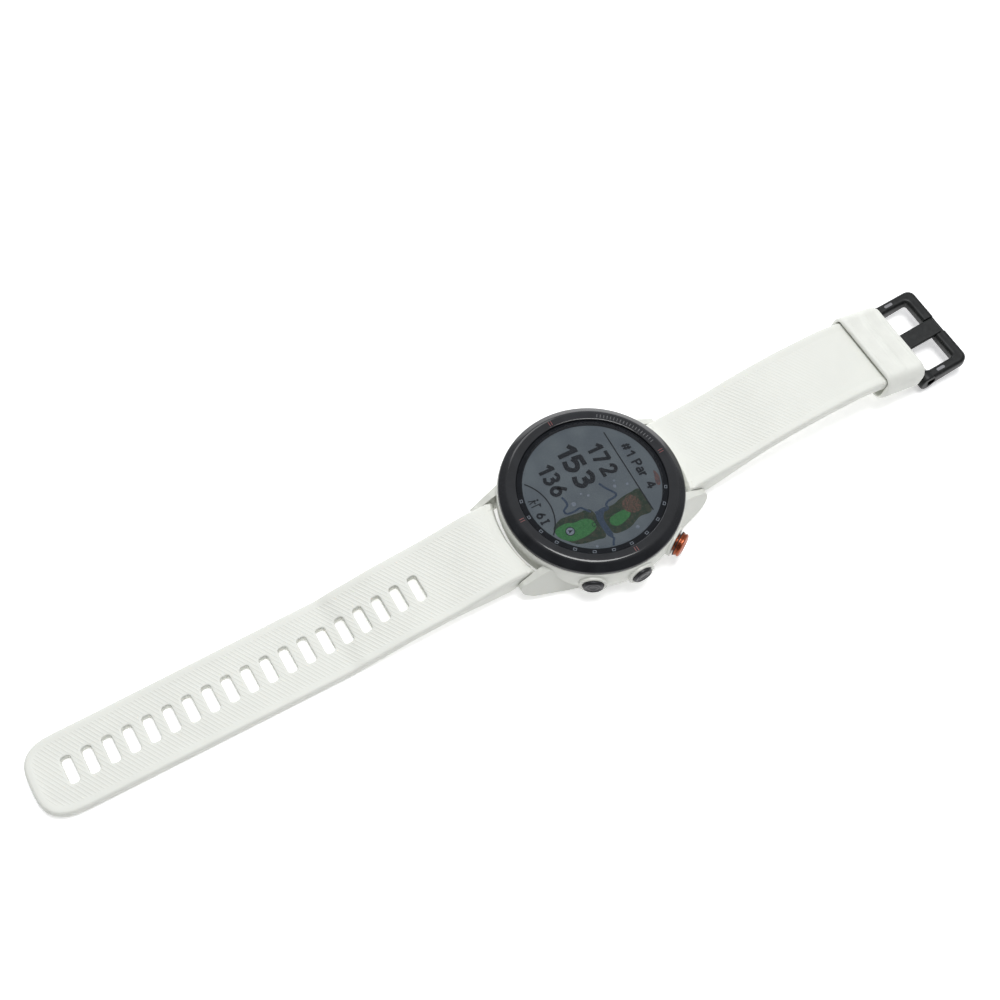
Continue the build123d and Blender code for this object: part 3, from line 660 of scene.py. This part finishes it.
def natural_curve(points):
    """A smooth curve through points, and its length. The curve is a function that turns the
    distance along it into (y, z, normal y, normal z)."""
    fine = []
    for i in range(len(points) - 1):
        p0 = points[max(i - 1, 0)]
        p1, p2 = points[i], points[i + 1]
        p3 = points[min(i + 2, len(points) - 1)]
        span = (p2 - p1).length
        m1 = (p2 - p0) * span / ((p2 - p1).length + (p1 - p0).length)
        m2 = (p3 - p1) * span / ((p3 - p2).length + (p2 - p1).length)
        for k in range(12):
            t = k / 12
            fine.append(p1 * (2 * t ** 3 - 3 * t ** 2 + 1) + m1 * (t ** 3 - 2 * t ** 2 + t)
                        + p2 * (3 * t ** 2 - 2 * t ** 3) + m2 * (t ** 3 - t ** 2))
    fine.append(points[-1])
    lengths = [0.0]
    for a, b in zip(fine, fine[1:]):
        lengths.append(lengths[-1] + (b - a).length)
    step = 0.25
    even_points, k = [], 0
    for j in range(int(lengths[-1] / step) + 1):
        while k < len(fine) - 2 and lengths[k + 1] < j * step:
            k += 1
        t = (j * step - lengths[k]) / (lengths[k + 1] - lengths[k])
        even_points.append(fine[k].lerp(fine[k + 1], t))
    read_y = sampled([p.x for p in even_points], 0, step)
    read_z = sampled([p.y for p in even_points], 0, step)

    def path(s):
        over = max(0.0, s - lengths[-1] + 0.5)
        base = s - over
        y, z = read_y(base), read_z(base)
        run = Vector((read_y(base + 0.4) - read_y(base - 0.4),
                      read_z(base + 0.4) - read_z(base - 0.4))).normalized()
        return y + run.x * over, z + run.y * over, -run.y, run.x
    return path, lengths[-1]


def make_buckle_strap():
    bend = [Vector((ARC_CENTRE[0] + ARC_R * sin(radians(a)), ARC_CENTRE[1] + ARC_R *
                    cos(radians(a)))) for a in range(-4, 32, 5)]
    knots = [Vector(p) for p in ((21.0, 4.6), (25.5, 4.6), (29.0, 5.0), (36.0, 6.8),
                                 (43.0, 8.8), (50.0, 10.3), (57.0, 11.25), (64.0, 11.8))]
    path, length = natural_curve(knots + bend + [Vector(PIN)])
    first, step = 1.0, 0.5
    stations = [first + step * k for k in range(int((length - 2.6) / step))]
    top, low = thickness_along(tree_of("buckle_strap"), path, [max(s, 1.2) for s in stations],
                               lambda s: NEAR_EDGE if s < 3.4 else OFF_MIDDLE,
                               lambda s: NEAR_EDGE if s < 60 else OFF_MIDDLE)
    low = bridged(low, int(1.5 / step), int(5.5 / step))
    high, deep = sampled(top, first, step), sampled(low, first, step)
    start = 21.0                             # where the path begins, from the case's middle

    def above(p, drop):
        y, z, ny, nz = path(p.y)
        reach = high(p.y) + swell(p.x, p.y + start) - drop
        return Vector((p.x, y + ny * reach, z + nz * reach))

    def below(p, drop):
        y, z, ny, nz = path(p.y)
        reach = -deep(p.y) + drop
        return Vector((p.x, y + ny * reach, z + nz * reach))

    end = length + 0.4                       # where the flat part meets the barrel
    narrow = length - 4.3
    hollow = [Vector((p.x, -p.y - start)) for p in strap_end()]
    side = [Vector((HALF_WIDTH, narrow)), Vector((9.7, narrow + 0.6)), Vector((9.7, end))]
    gap = [Vector((2.8, end)), Vector((2.8, length - 3.4)), Vector((-2.8, length - 3.4)),
           Vector((-2.8, end))]
    outline = resample(hollow + side + gap + [Vector((-p.x, p.y)) for p in side[::-1]], 0.9)
    strap = plate("buckle_strap_skin", outline, [], above, below, MATS["white_strap"],
                  "buckle_band", edge=0.85, low_edge=0.6, recess=0.1,
                  ribs=lambda p: smooth_step((p.y - 6.0) / 3.0) * (
                      1 - smooth_step((p.y - 30.0) / 26.0)))
    carve_strap_end(strap, -1)
    barrels = joined(*[along_x(*PIN, 1.78, *span, ease=0.4) for span in ((-9.7, -2.85),
                                                                         (2.85, 9.7))])
    roll = add_piece("buckle_strap_roll", *barrels, MATS["white_strap"], "buckle_band")
    carve(roll, along_x(*PIN, 0.85, -12, 12))
    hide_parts("buckle_strap")


# ------------------------ keeper
def make_keeper():
    """A soft loop with rolled rims, and a ridge between two sunk panels on its top and
    underside."""
    half_l, outer, inner = 6.7, (12.4, 4.3, 3.3), (11.1, 3.0, 1.0)
    section = [(-half_l, -0.75), (-6.55, -0.4), (-6.25, -0.1), (-5.9, 0.0), (-5.4, -0.02),
               (-5.15, -0.2), (-4.95, -0.44), (-4.6, -0.55), (-3.0, -0.6), (-1.4, -0.55),
               (-1.0, -0.44), (-0.75, -0.2), (-0.5, -0.04)]
    section = section + [(0.0, 0.0)] + [(-a, b) for a, b in section[::-1]]
    frame_of = Matrix.Translation((0, 89.1, 7.95)) @ Matrix.Rotation(radians(-14), 4, "X")

    def ring(size, skin):
        x, y, radius = size
        return round_box(0, 0, x + skin, y + skin, radius + skin, 9, sides=8)

    rim = ring(outer, 0)
    rows = []
    for along, skin in section:
        sunk = ring(outer, skin)
        share = [1.0 if abs(along) > 5.6 else 1 - smooth_step((abs(p.x) - 7.5) / 3.2)
                 for p in rim]
        rows.append((along, [p.lerp(q, t) for p, q, t in zip(rim, sunk, share)]))
    for along, skin in ((half_l, 0.35), (half_l - 0.15, 0.1), (half_l - 0.5, 0.0),
                        (-half_l + 0.5, 0.0), (-half_l + 0.15, 0.1), (-half_l, 0.35)):
        rows.append((along, ring(inner, skin)))
    verts, faces = [], []
    for along, loop in rows:
        verts += [frame_of @ Vector((p.x, along, p.y)) for p in loop]
    count = len(rim)
    for i in range(len(rows)):
        j = (i + 1) % len(rows)
        for k in range(count):
            n = (k + 1) % count
            faces.append((i * count + k, i * count + n, j * count + n, j * count + k))
    keeper = add_piece("keeper_loop", verts, faces, MATS["white_keeper"], "loop", angle=60)
    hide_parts("keeper")


# ------------------------ buckle
FRAME_END = (109.4, 5.0)


def buckle_frame_axes():
    rise = Vector((FRAME_END[0] - PIN[0], FRAME_END[1] - PIN[1])).normalized()
    return rise, Vector((-rise.y, rise.x))


def make_buckle():
    rise, up = buckle_frame_axes()
    reach = (Vector(FRAME_END) - Vector(PIN)).length

    def at(x, s, n):
        point = Vector(PIN) + rise * s + up * n
        return Vector((x, point.x, point.y))

    def half(s):
        return 2.1 - 0.45 * min(max(s / reach, 0.0), 1.0)

    corner = reach + 1.65 - 2.3
    outline = [Vector((10.1, -0.4)), Vector((12.9, -0.4))]
    outline += arc((10.6, corner), 2.3, 0, 90, 9) + arc((-10.6, corner), 2.3, 90, 180, 9)
    outline += [Vector((-12.9, -0.4)), Vector((-10.1, -0.4))]
    outline += arc((-9.3, reach - 2.55), 0.8, 180, 90, 4) + arc((9.3, reach - 2.55), 0.8, 90, 0,
                                                                4)
    frame_piece = plate(
        "buckle_frame_skin", resample(outline, 0.7), [],
        lambda p, drop: at(p.x, p.y, half(p.y) - drop),
        lambda p, drop: at(p.x, p.y, drop - half(p.y)), MATS["buckle_black"], "buckle",
        edge=1.0, low_edge=0.8, border=1.05, step=0.5)
    notch = block((-2.7, 2.7), (-4.2, 4), (0.42, 4))
    place = Matrix(((1, 0, 0), (0, rise.x, up.x), (0, rise.y, up.y))).to_4x4()
    place.translation = Vector((0, *FRAME_END))
    carve(frame_piece, ([place @ v for v in notch[0]], notch[1]))
    bosses = joined(*[along_x(*PIN, 2.5, *span, ease=0.45) for span in ((-12.9, -10.12),
                                                                        (10.12, 12.9))])
    hub = add_piece("buckle_frame_hubs", *bosses, MATS["buckle_black"], "buckle")
    carve(hub, along_x(*PIN, 0.86, -12.46, 12.46, ease=0.02))
    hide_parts("buckle_frame")

    marks = []
    for x in (-11.5, 11.5):
        loop = round_box(x, 4.5, 0.42, 1.25, 0.4)
        marks.append(flat_face([at(p.x, p.y, half(p.y) + 0.02) for p in loop]))
    pads = add_piece("buckle_frame_marks", *joined(*marks), MATS["worn_metal"], "buckle")

    low = 0.68
    tip = reach + 0.85
    strip = round_box(0, tip / 2 + 0.2, 2.5, tip / 2 - 0.2, 0.6)
    tongue = plate(
        "buckle_tongue_skin", resample(strip, 0.7), [],
        lambda p, drop: at(p.x, p.y, 1.72 - 0.2 * smooth_step(p.y / reach) - drop),
        lambda p, drop: at(p.x, p.y, low - 0.2 * smooth_step(p.y / reach) + drop),
        MATS["buckle_black"], "tongue", edge=0.35, low_edge=0.25, border=0.5, step=0.5)
    roll = add_piece("buckle_tongue_roll", *along_x(*PIN, 1.74, -2.49, 2.49, ease=0.3),
                     MATS["buckle_black"], "tongue")
    carve(roll, along_x(*PIN, 0.85, -3, 3))
    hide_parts("buckle_tongue")


# ------------------------ buttons
BUTTON_Z = 7.0                           # height of the buttons' axes


def make_buttons():
    cap = rounded([(1e-3, -1.55), (2.28, -1.55), (2.28, 0.0), (3.06, 0.0), (3.1, 0.42),
                   (2.86, 0.5), (2.86, 0.68), (3.1, 0.76), (3.06, 1.2), (2.6, 1.49),
                   (2.25, 1.49), (2.05, 1.36), (1.6, 1.34), (1.5, 1.26), (1.0, 1.24),
                   (0.9, 1.17), (1e-3, 1.15)], 0.12)
    start = add_piece("start_button_cap", *turned(cap, 96, radial(30, 24.75, BUTTON_Z)),
                      MATS["copper_cap"], "start")
    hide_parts("start_button")
    dish = rounded([(1e-3, 0.0), (2.6, 0.0), (2.6, 1.3), (2.3, 1.68), (2.05, 1.74),
                    (1.8, 1.6), (1.45, 1.52), (1.3, 1.6), (0.9, 1.62), (0.75, 1.52),
                    (1e-3, 1.5)], 0.12)
    for name, angle in (("centre", 0), ("lower", -30)):
        button = add_piece(f"{name}_button_cap", *turned(dish, 96, radial(angle, 23.2, BUTTON_Z)),
                           MATS["black_cap"], name)
        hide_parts(f"{name}_button")


# ------------------------ bezel and lens
def make_bezel():
    section = rounded([(19.02, 10.42), (19.93, 10.42), (19.93, 11.42), (23.28, 11.42),
                       (23.28, 12.1), (23.05, 12.45), (21.55, 13.55), (21.2, 13.76),
                       (20.8, 13.88), (19.0, 13.88), (18.78, 13.7), (18.78, 13.22),
                       (17.62, 13.22), (17.62, 12.32), (19.02, 12.32)], 0.22)
    ring = add_piece("bezel_ring_turned", *turned(section, 256),
                     MATS["black_ceramic"], "case", angle=50)
    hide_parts("bezel_ring")
    height = 13.885
    quarter = [a + side for a in (0, 90, 180, 270) for side in (-0.9, 0.9)]
    scale = [100 + 2.5 * k for k in range(19)]
    for name, angles, span, width, mat in (
            ("bezel_quarter_marks", quarter, (19.4, 20.7), 0.16, "mark_red"),
            ("bezel_scale", scale, (19.5, 20.4), 0.22, "mark_grey")):
        marks = joined(*[radial_bar(a, *span, width, height) for a in angles])
        piece = add_piece(name, *marks, MATS[mat], "case")


def radial_bar(angle, near, far, width, z):
    """A flat mark that runs outward along a radius."""
    a = radians(angle)
    out, side = Vector((cos(a), sin(a), 0)), Vector((-sin(a), cos(a), 0)) * width / 2
    lift = Vector((0, 0, z))
    return flat_face([out * near - side + lift, out * far - side + lift,
                      out * far + side + lift, out * near + side + lift])


def make_lens():
    section = rounded([(1e-3, 13.46), (18.6, 13.46), (18.6, 14.0), (18.38, 14.33),
                       (17.88, 14.68), (17.5, 14.79), (1e-3, 14.8)], 0.1)
    lens = add_piece("lens_clear", *turned(section, 256), MATS["cover_glass"], "case",
                     angle=60)
    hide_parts("lens")
    ring = rounded([(17.3, 13.415), (18.6, 13.415), (18.6, 13.445), (17.3, 13.445)], 0.005, 1)
    mask = add_piece("lens_mask", *turned(ring, 256), MATS["mask_black"], "case")
    ticks, height = [], 13.45
    # The ticks run round the near half only. The far half is left black as painted shade, where the
    # bezel's inner wall shades the track, though the real track runs all round.
    for angle in range(-105, 75, 15):
        ticks += [radial_bar(angle, 17.78, 17.92, 0.9, height),
                  radial_bar(angle, 18.34, 18.48, 0.9, height),
                  radial_bar(angle - 1.2, 17.94, 18.32, 0.15, height),
                  radial_bar(angle + 1.2, 17.94, 18.32, 0.15, height)]
    track = add_piece("lens_marks", *joined(*ticks), MATS["print_white"], "case")


# ------------------------ display picture
ART_TURN = radians(-2.0)                 # the picture sits a little askew in the case
DISPLAY_TOP = 13.3
# Stroke lettering on a grid whose unit is a capital's height.
GLYPHS = {
    " ": [],
    "#": [[(0.12, 0), (0.3, 1)], [(0.46, 0), (0.64, 1)], [(0, 0.32), (0.7, 0.32)],
          [(0.06, 0.68), (0.76, 0.68)]],
    "1": [[(0, 0.7), (0.36, 1)], [(0.36, 1.08), (0.36, -0.1)]],
    "2": [[(0, 0.72), (0.1, 0.94), (0.3, 1.02), (0.52, 0.9), (0.54, 0.66), (0.34, 0.36),
           (0, 0)], [(-0.1, 0), (0.66, 0)]],
    "3": [[(0, 0.9), (0.28, 1.02), (0.53, 0.86), (0.48, 0.62), (0.22, 0.54)],
          [(0.22, 0.54), (0.52, 0.46), (0.58, 0.2), (0.34, -0.02), (0, 0.08)]],
    "4": [[(0.5, -0.1), (0.5, 1)], [(0.5, 1), (0, 0.28)], [(-0.06, 0.28), (0.74, 0.28)]],
    "5": [[(0.56, 1), (0.06, 1)], [(0.09, 1.1), (0.04, 0.52)],
          [(0.02, 0.52), (0.28, 0.64), (0.54, 0.52), (0.58, 0.26), (0.36, 0), (0, 0.06)]],
    "6": [[(0.5, 1.04), (0.14, 0.6), (0, 0.28), (0.1, 0.06), (0.3, -0.02), (0.52, 0.08),
           (0.6, 0.3), (0.5, 0.52), (0.3, 0.6), (0.1, 0.5)]],
    "7": [[(-0.08, 1), (0.62, 1)], [(0.6, 1.06), (0.18, -0.1)]],
    "I": [[(0.15, 0), (0.15, 1)], [(-0.08, 1), (0.38, 1)], [(-0.08, 0), (0.38, 0)]],
    "P": [[(0, -0.1), (0, 1.1)], [(0, 1), (0.38, 1), (0.56, 0.78), (0.38, 0.52), (0, 0.5)]],
    "a": [[(0.06, 0.62), (0.3, 0.72), (0.46, 0.56), (0.46, -0.1)],
          [(0.46, 0.36), (0.14, 0.36), (0, 0.18), (0.14, 0), (0.46, 0.08)]],
    "r": [[(0, -0.1), (0, 0.78)], [(0, 0.4), (0.14, 0.62), (0.34, 0.68)]],
}


class Picture:
    """Flat prints laid over the display one above the other, a hair apart."""

    def __init__(self):
        self.z = DISPLAY_TOP + 0.01

    def place(self, x, y):
        return Vector((x * cos(ART_TURN) - y * sin(ART_TURN),
                       x * sin(ART_TURN) + y * cos(ART_TURN), self.z))

    def add(self, name, loops, mat):
        faces = [flat_face([self.place(*p) for p in loop]) for loop in loops]
        piece = add_piece(name, *joined(*faces), MATS[mat], "case")
        self.z += 0.004

    def write(self, name, text, x, y, height, weight, gap, stretch=1.0):
        """Plain stroke lettering whose left foot is at (x, y)."""
        scale, faces = height - weight, []
        for glyph in text:
            strokes = GLYPHS[glyph]
            for level, stroke in enumerate(strokes):
                line = [Vector((p.x * stretch, p.y)) * scale + Vector((x, y))
                        + Vector((weight, weight)) / 2 for p in flowing(stroke, closed=False)]
                faces += [flat_face([self.place(*p) + Vector((0, 0, 0.002 * level))
                                     for p in quad]) for quad in ribbon(line, weight)]
            wide = max([p[0] for stroke in strokes for p in stroke], default=0.3)
            x += wide * stretch * scale + gap + weight
        piece = add_piece(name, *joined(*faces), MATS["print_dark"], "case")
        self.z += 0.012


def flowing(points, steps=6, closed=True):
    """A smooth curve through a few points."""
    out, count = [], len(points)
    last = count if closed else count - 1
    for i in range(last):
        p0, p1, p2, p3 = [Vector(points[(i + k) % count] if closed else
                                 points[min(max(i + k, 0), count - 1)]) for k in (-1, 0, 1, 2)]
        for k in range(steps):
            t = k / steps
            out.append(((2 * p1) + (p2 - p0) * t + (2 * p0 - 5 * p1 + 4 * p2 - p3) * t * t
                        + (3 * p1 - p0 - 3 * p2 + p3) * t ** 3) / 2)
    if not closed:
        out.append(Vector(points[-1]))
    return out


def ribbon(points, width):
    """Four-sided faces along a line, width wide, that meet edge to edge."""
    looped = (points[0] - points[-1]).length < 1e-6
    sides = []
    for i, p in enumerate(points):
        before = points[i - 1] if i else points[-2] if looped else p
        after = points[i + 1] if i + 1 < len(points) else points[1] if looped else p
        run = (after - before).normalized() * width / 2
        sides.append((p + Vector((-run.y, run.x)), p - Vector((-run.y, run.x))))
    return [[a[0], b[0], b[1], a[1]] for a, b in zip(sides, sides[1:])]


def make_display():
    base = rounded([(1e-3, 12.22), (17.35, 12.22), (17.35, DISPLAY_TOP),
                    (1e-3, DISPLAY_TOP)], 0.02, 1)
    panel = add_piece("display_glass", *turned(base, 128), MATS["screen"], "case")
    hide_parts("display_panel")
    art = Picture()
    for name, points, mat in (
            ("map_smudge", [(3.0, 15.8), (5.0, 16.2), (7.3, 15.2), (6.6, 14.4), (4.6, 15.1)],
             "print_rust"),
            ("map_upper_rough", [(6.2, 10.0), (12.4, 9.7), (12.7, 6.1), (14.0, 3.1), (14.3, 0.6),
                                 (13.8, -1.7), (11.6, -2.1), (8.6, -1.9), (7.0, 0.1),
                                 (6.8, 2.3), (6.1, 4.6), (5.8, 7.6)], "print_olive"),
            ("map_lower_rough", [(5.9, -3.5), (13.2, -3.7), (13.4, -6.4), (12.8, -9.9),
                                 (11.7, -11.8), (8.6, -14.1), (6.1, -14.3), (4.6, -11.9),
                                 (4.6, -9.9), (5.0, -6.9)], "print_olive"),
            ("map_lake", [(6.6, 0.0), (7.4, -3.3), (13.4, -3.5), (14.0, -2.1), (9.1, -2.0)],
             "print_blue"),
            ("map_upper_fairway", [(9.4, 4.2), (11.1, 4.4), (12.2, 2.1), (12.4, 0.1),
                                   (11.4, -1.1), (10.0, -0.8), (9.4, 0.7)], "print_green"),
            ("map_lower_fairway", [(8.2, -4.8), (10.1, -4.6), (11.2, -6.7), (11.4, -9.9),
                                   (10.8, -12.3), (8.6, -14.3), (6.6, -14.0), (6.1, -11.1),
                                   (6.9, -8.9), (7.0, -6.4)], "print_green")):
        art.add(name, [flowing(points)], mat)
    art.add("map_bunkers", [flowing([(8.8 + 2.5 * cos(a) * (1 + 0.12 * sin(3 * a)),
                                      6.0 + 2.3 * sin(a)) for a in
                                     [radians(40 * k) for k in range(9)]])], "print_bunker")
    streams = (
        [(0.2, 1.8), (1.8, 2.5), (3.1, 3.3), (4.6, 4.1), (5.2, 3.3), (5.4, 1.6), (6.1, 0.4),
         (7.2, 0.3), (7.3, -1.1), (6.7, -3.1)],
        [(13.8, -3.1), (14.9, -2.5), (15.8, -3.1), (16.6, -3.5)],
        [(-0.6, -8.3), (0.8, -8.0), (2.0, -8.2), (2.9, -9.6), (4.0, -9.3), (4.2, -7.3),
         (4.0, -5.7), (5.0, -4.8), (6.2, -3.9)])
    art.add("map_streams", [quad for line in streams
                            for quad in ribbon(flowing(line, closed=False), 0.55)],
            "print_blue")
    art.add("map_ponds", [[Vector((x + r * cos(radians(30 * k)), y + r * sin(radians(30 * k))))
                           for k in range(12)]
                          for x, y, r in ((2.6, 4.9, 0.45), (1.2, 5.5, 0.3), (1.9, -2.2, 0.35),
                                          (2.4, -6.6, 0.6), (3.4, 8.0, 0.35), (0.7, -3.6, 0.3),
                                          (14.9, 4.2, 0.5), (15.0, -7.2, 0.35))],
            "print_pale")
    art.add("tee_ring", ribbon(arc((9.5, -4.9), 0.5, 0, 360, 16), 0.16), "print_dark")
    art.add("place_disc", [arc((8.5, -11.0), 1.15, 0, 345, 23)], "print_pale")
    art.add("place_ring", ribbon(arc((8.5, -11.0), 1.1, 0, 360, 24), 0.2), "print_dark")
    art.add("place_arrow", [[Vector(p) for p in ((8.5, -10.25), (9.0, -11.6),
                                                 (8.5, -11.25), (8.0, -11.6))]],
            "print_dark")
    lines = ribbon([Vector((-12.0, 10.2)), Vector((12.6, 10.0))], 0.3)
    sweep = [p for p in arc((-0.4, -23.1), 11.25, 30, 150, 40) if hypot(*p) < 17.1]
    art.add("display_rules", lines + ribbon(sweep, 0.32), "print_dark")
    art.add("golfer", golfer((-2.75, -16.3)), "print_dark")
    for lettering in (("text_hole", "#1 Par 4", -7.0, 11.85, 2.6, 0.5, 0.18, 1.15),
                      ("text_back", "172", -10.3, 3.75, 4.45, 0.92, 0.72),
                      ("text_middle", "153", -13.3, -3.7, 5.7, 1.22, 0.45, 1.22),
                      ("text_front", "136", -10.4, -10.2, 4.45, 0.9, 0.54),
                      ("text_club", "6I", 0.7, -16.4, 2.4, 0.48, 0.65)):
        art.write(*lettering)


def golfer(at):
    """A small plain pictogram: a figure beside a flag."""
    x, y = at
    head = arc((x + 0.1, y + 2.35), 0.28, 0, 330, 11)
    lines = (((-0.5, 0.0), (-0.2, 1.0), (0.0, 1.9)), ((0.35, 0.0), (0.1, 1.0), (0.0, 1.9)),
             ((0.0, 1.8), (0.5, 1.3), (0.9, 1.5)), ((1.3, 0.0), (1.3, 2.6)))
    loops = [head]
    for line in lines:
        loops += ribbon([Vector((x + a, y + b)) for a, b in line], 0.26)
    return loops + [[Vector((x + 1.3, y + 2.6)), Vector((x + 2.3, y + 2.25)),
                     Vector((x + 1.3, y + 1.9))]]


make_long_strap()
make_buckle_strap()
make_keeper()
make_buckle()
make_buttons()
make_bezel()
make_lens()
make_display()
for node, width in (("case_body", 0.3), ("rear_cover", 0.15), ("rear_screws", 0.08),
                    ("lug_bars", 0.08), ("sensor_window", 0.1), ("start_collar", 0.05)):
    soften(node, width)


# ------------------------ camera, floor and light
def set_camera():
    """Seen from 4 o'clock, 62 degrees up, with the frame turned a little."""
    cam = bpy.data.cameras.new("camera")
    cam.lens = 54.1
    cam.sensor_width = 36.0
    obj = new_object("camera", cam)
    place = Vector((137.7, -118.38, 335.9)) * MM
    aim = Vector((-12.55, -18.54, 2.4)) * MM
    turn = (aim - place).to_track_quat("-Z", "Y").to_matrix()
    roll = Matrix.Rotation(radians(3.93), 3, "Z")
    obj.matrix_world = Matrix.Translation(place) @ (turn @ roll).to_4x4()
    cam.clip_start, cam.clip_end = 0.01, 10
    bpy.context.scene.camera = obj


def soft_light(name, place, size, watts):
    """A square light that faces the watch."""
    light = bpy.data.lights.new(name, "AREA")
    light.shape = "SQUARE"
    light.size = size
    light.energy = watts
    obj = new_object(name, light)
    obj.location = place
    obj.rotation_mode = "QUATERNION"
    obj.rotation_quaternion = (-Vector(place)).to_track_quat("-Z", "Y")


def set_stage():
    """A pale floor that glows a little, a sky that is brightest high up on the left, two lights."""
    low, wide = CAD_BOX[0].z, 3
    mesh = bpy.data.meshes.new("floor")
    mesh.from_pydata([(-wide, -wide, low), (wide, -wide, low), (wide, wide, low),
                      (-wide, wide, low)], [], [(0, 1, 2, 3)])
    floor = new_object("floor", mesh)
    surface("floor", (0.93, 0.93, 0.93), 0.9, vary=0.004, blotch=60, grain=2, depth=0.0, swing=0.02,
            specular=0.05)
    put(MATS["floor"].node_tree.nodes["Principled BSDF"], Emission_Color=(1, 1, 1, 1),
        Emission_Strength=0.42)
    mesh.materials.append(MATS["floor"])
    world = bpy.data.worlds.new("studio")
    world.use_nodes = True
    tree = world.node_tree
    coords = tree.nodes.new("ShaderNodeTexCoord").outputs["Generated"]
    facing = dot(tree, coords, (-0.45, 0.40, 0.80))
    sky = ramp(tree, facing, (0.09, 0.09, 0.095), (0.62, 0.63, 0.65), 0.22, 0.7)
    tree.links.new(sky, tree.nodes["Background"].inputs["Color"])
    bpy.context.scene.world = world
    soft_light("key", (-0.02, 0.06, 0.80), 0.34, 4.3)
    soft_light("side", (-0.75, 0.1, 0.45), 0.4, 1.2)
    bpy.context.scene.view_settings.view_transform = "Standard"


set_camera()
set_stage()
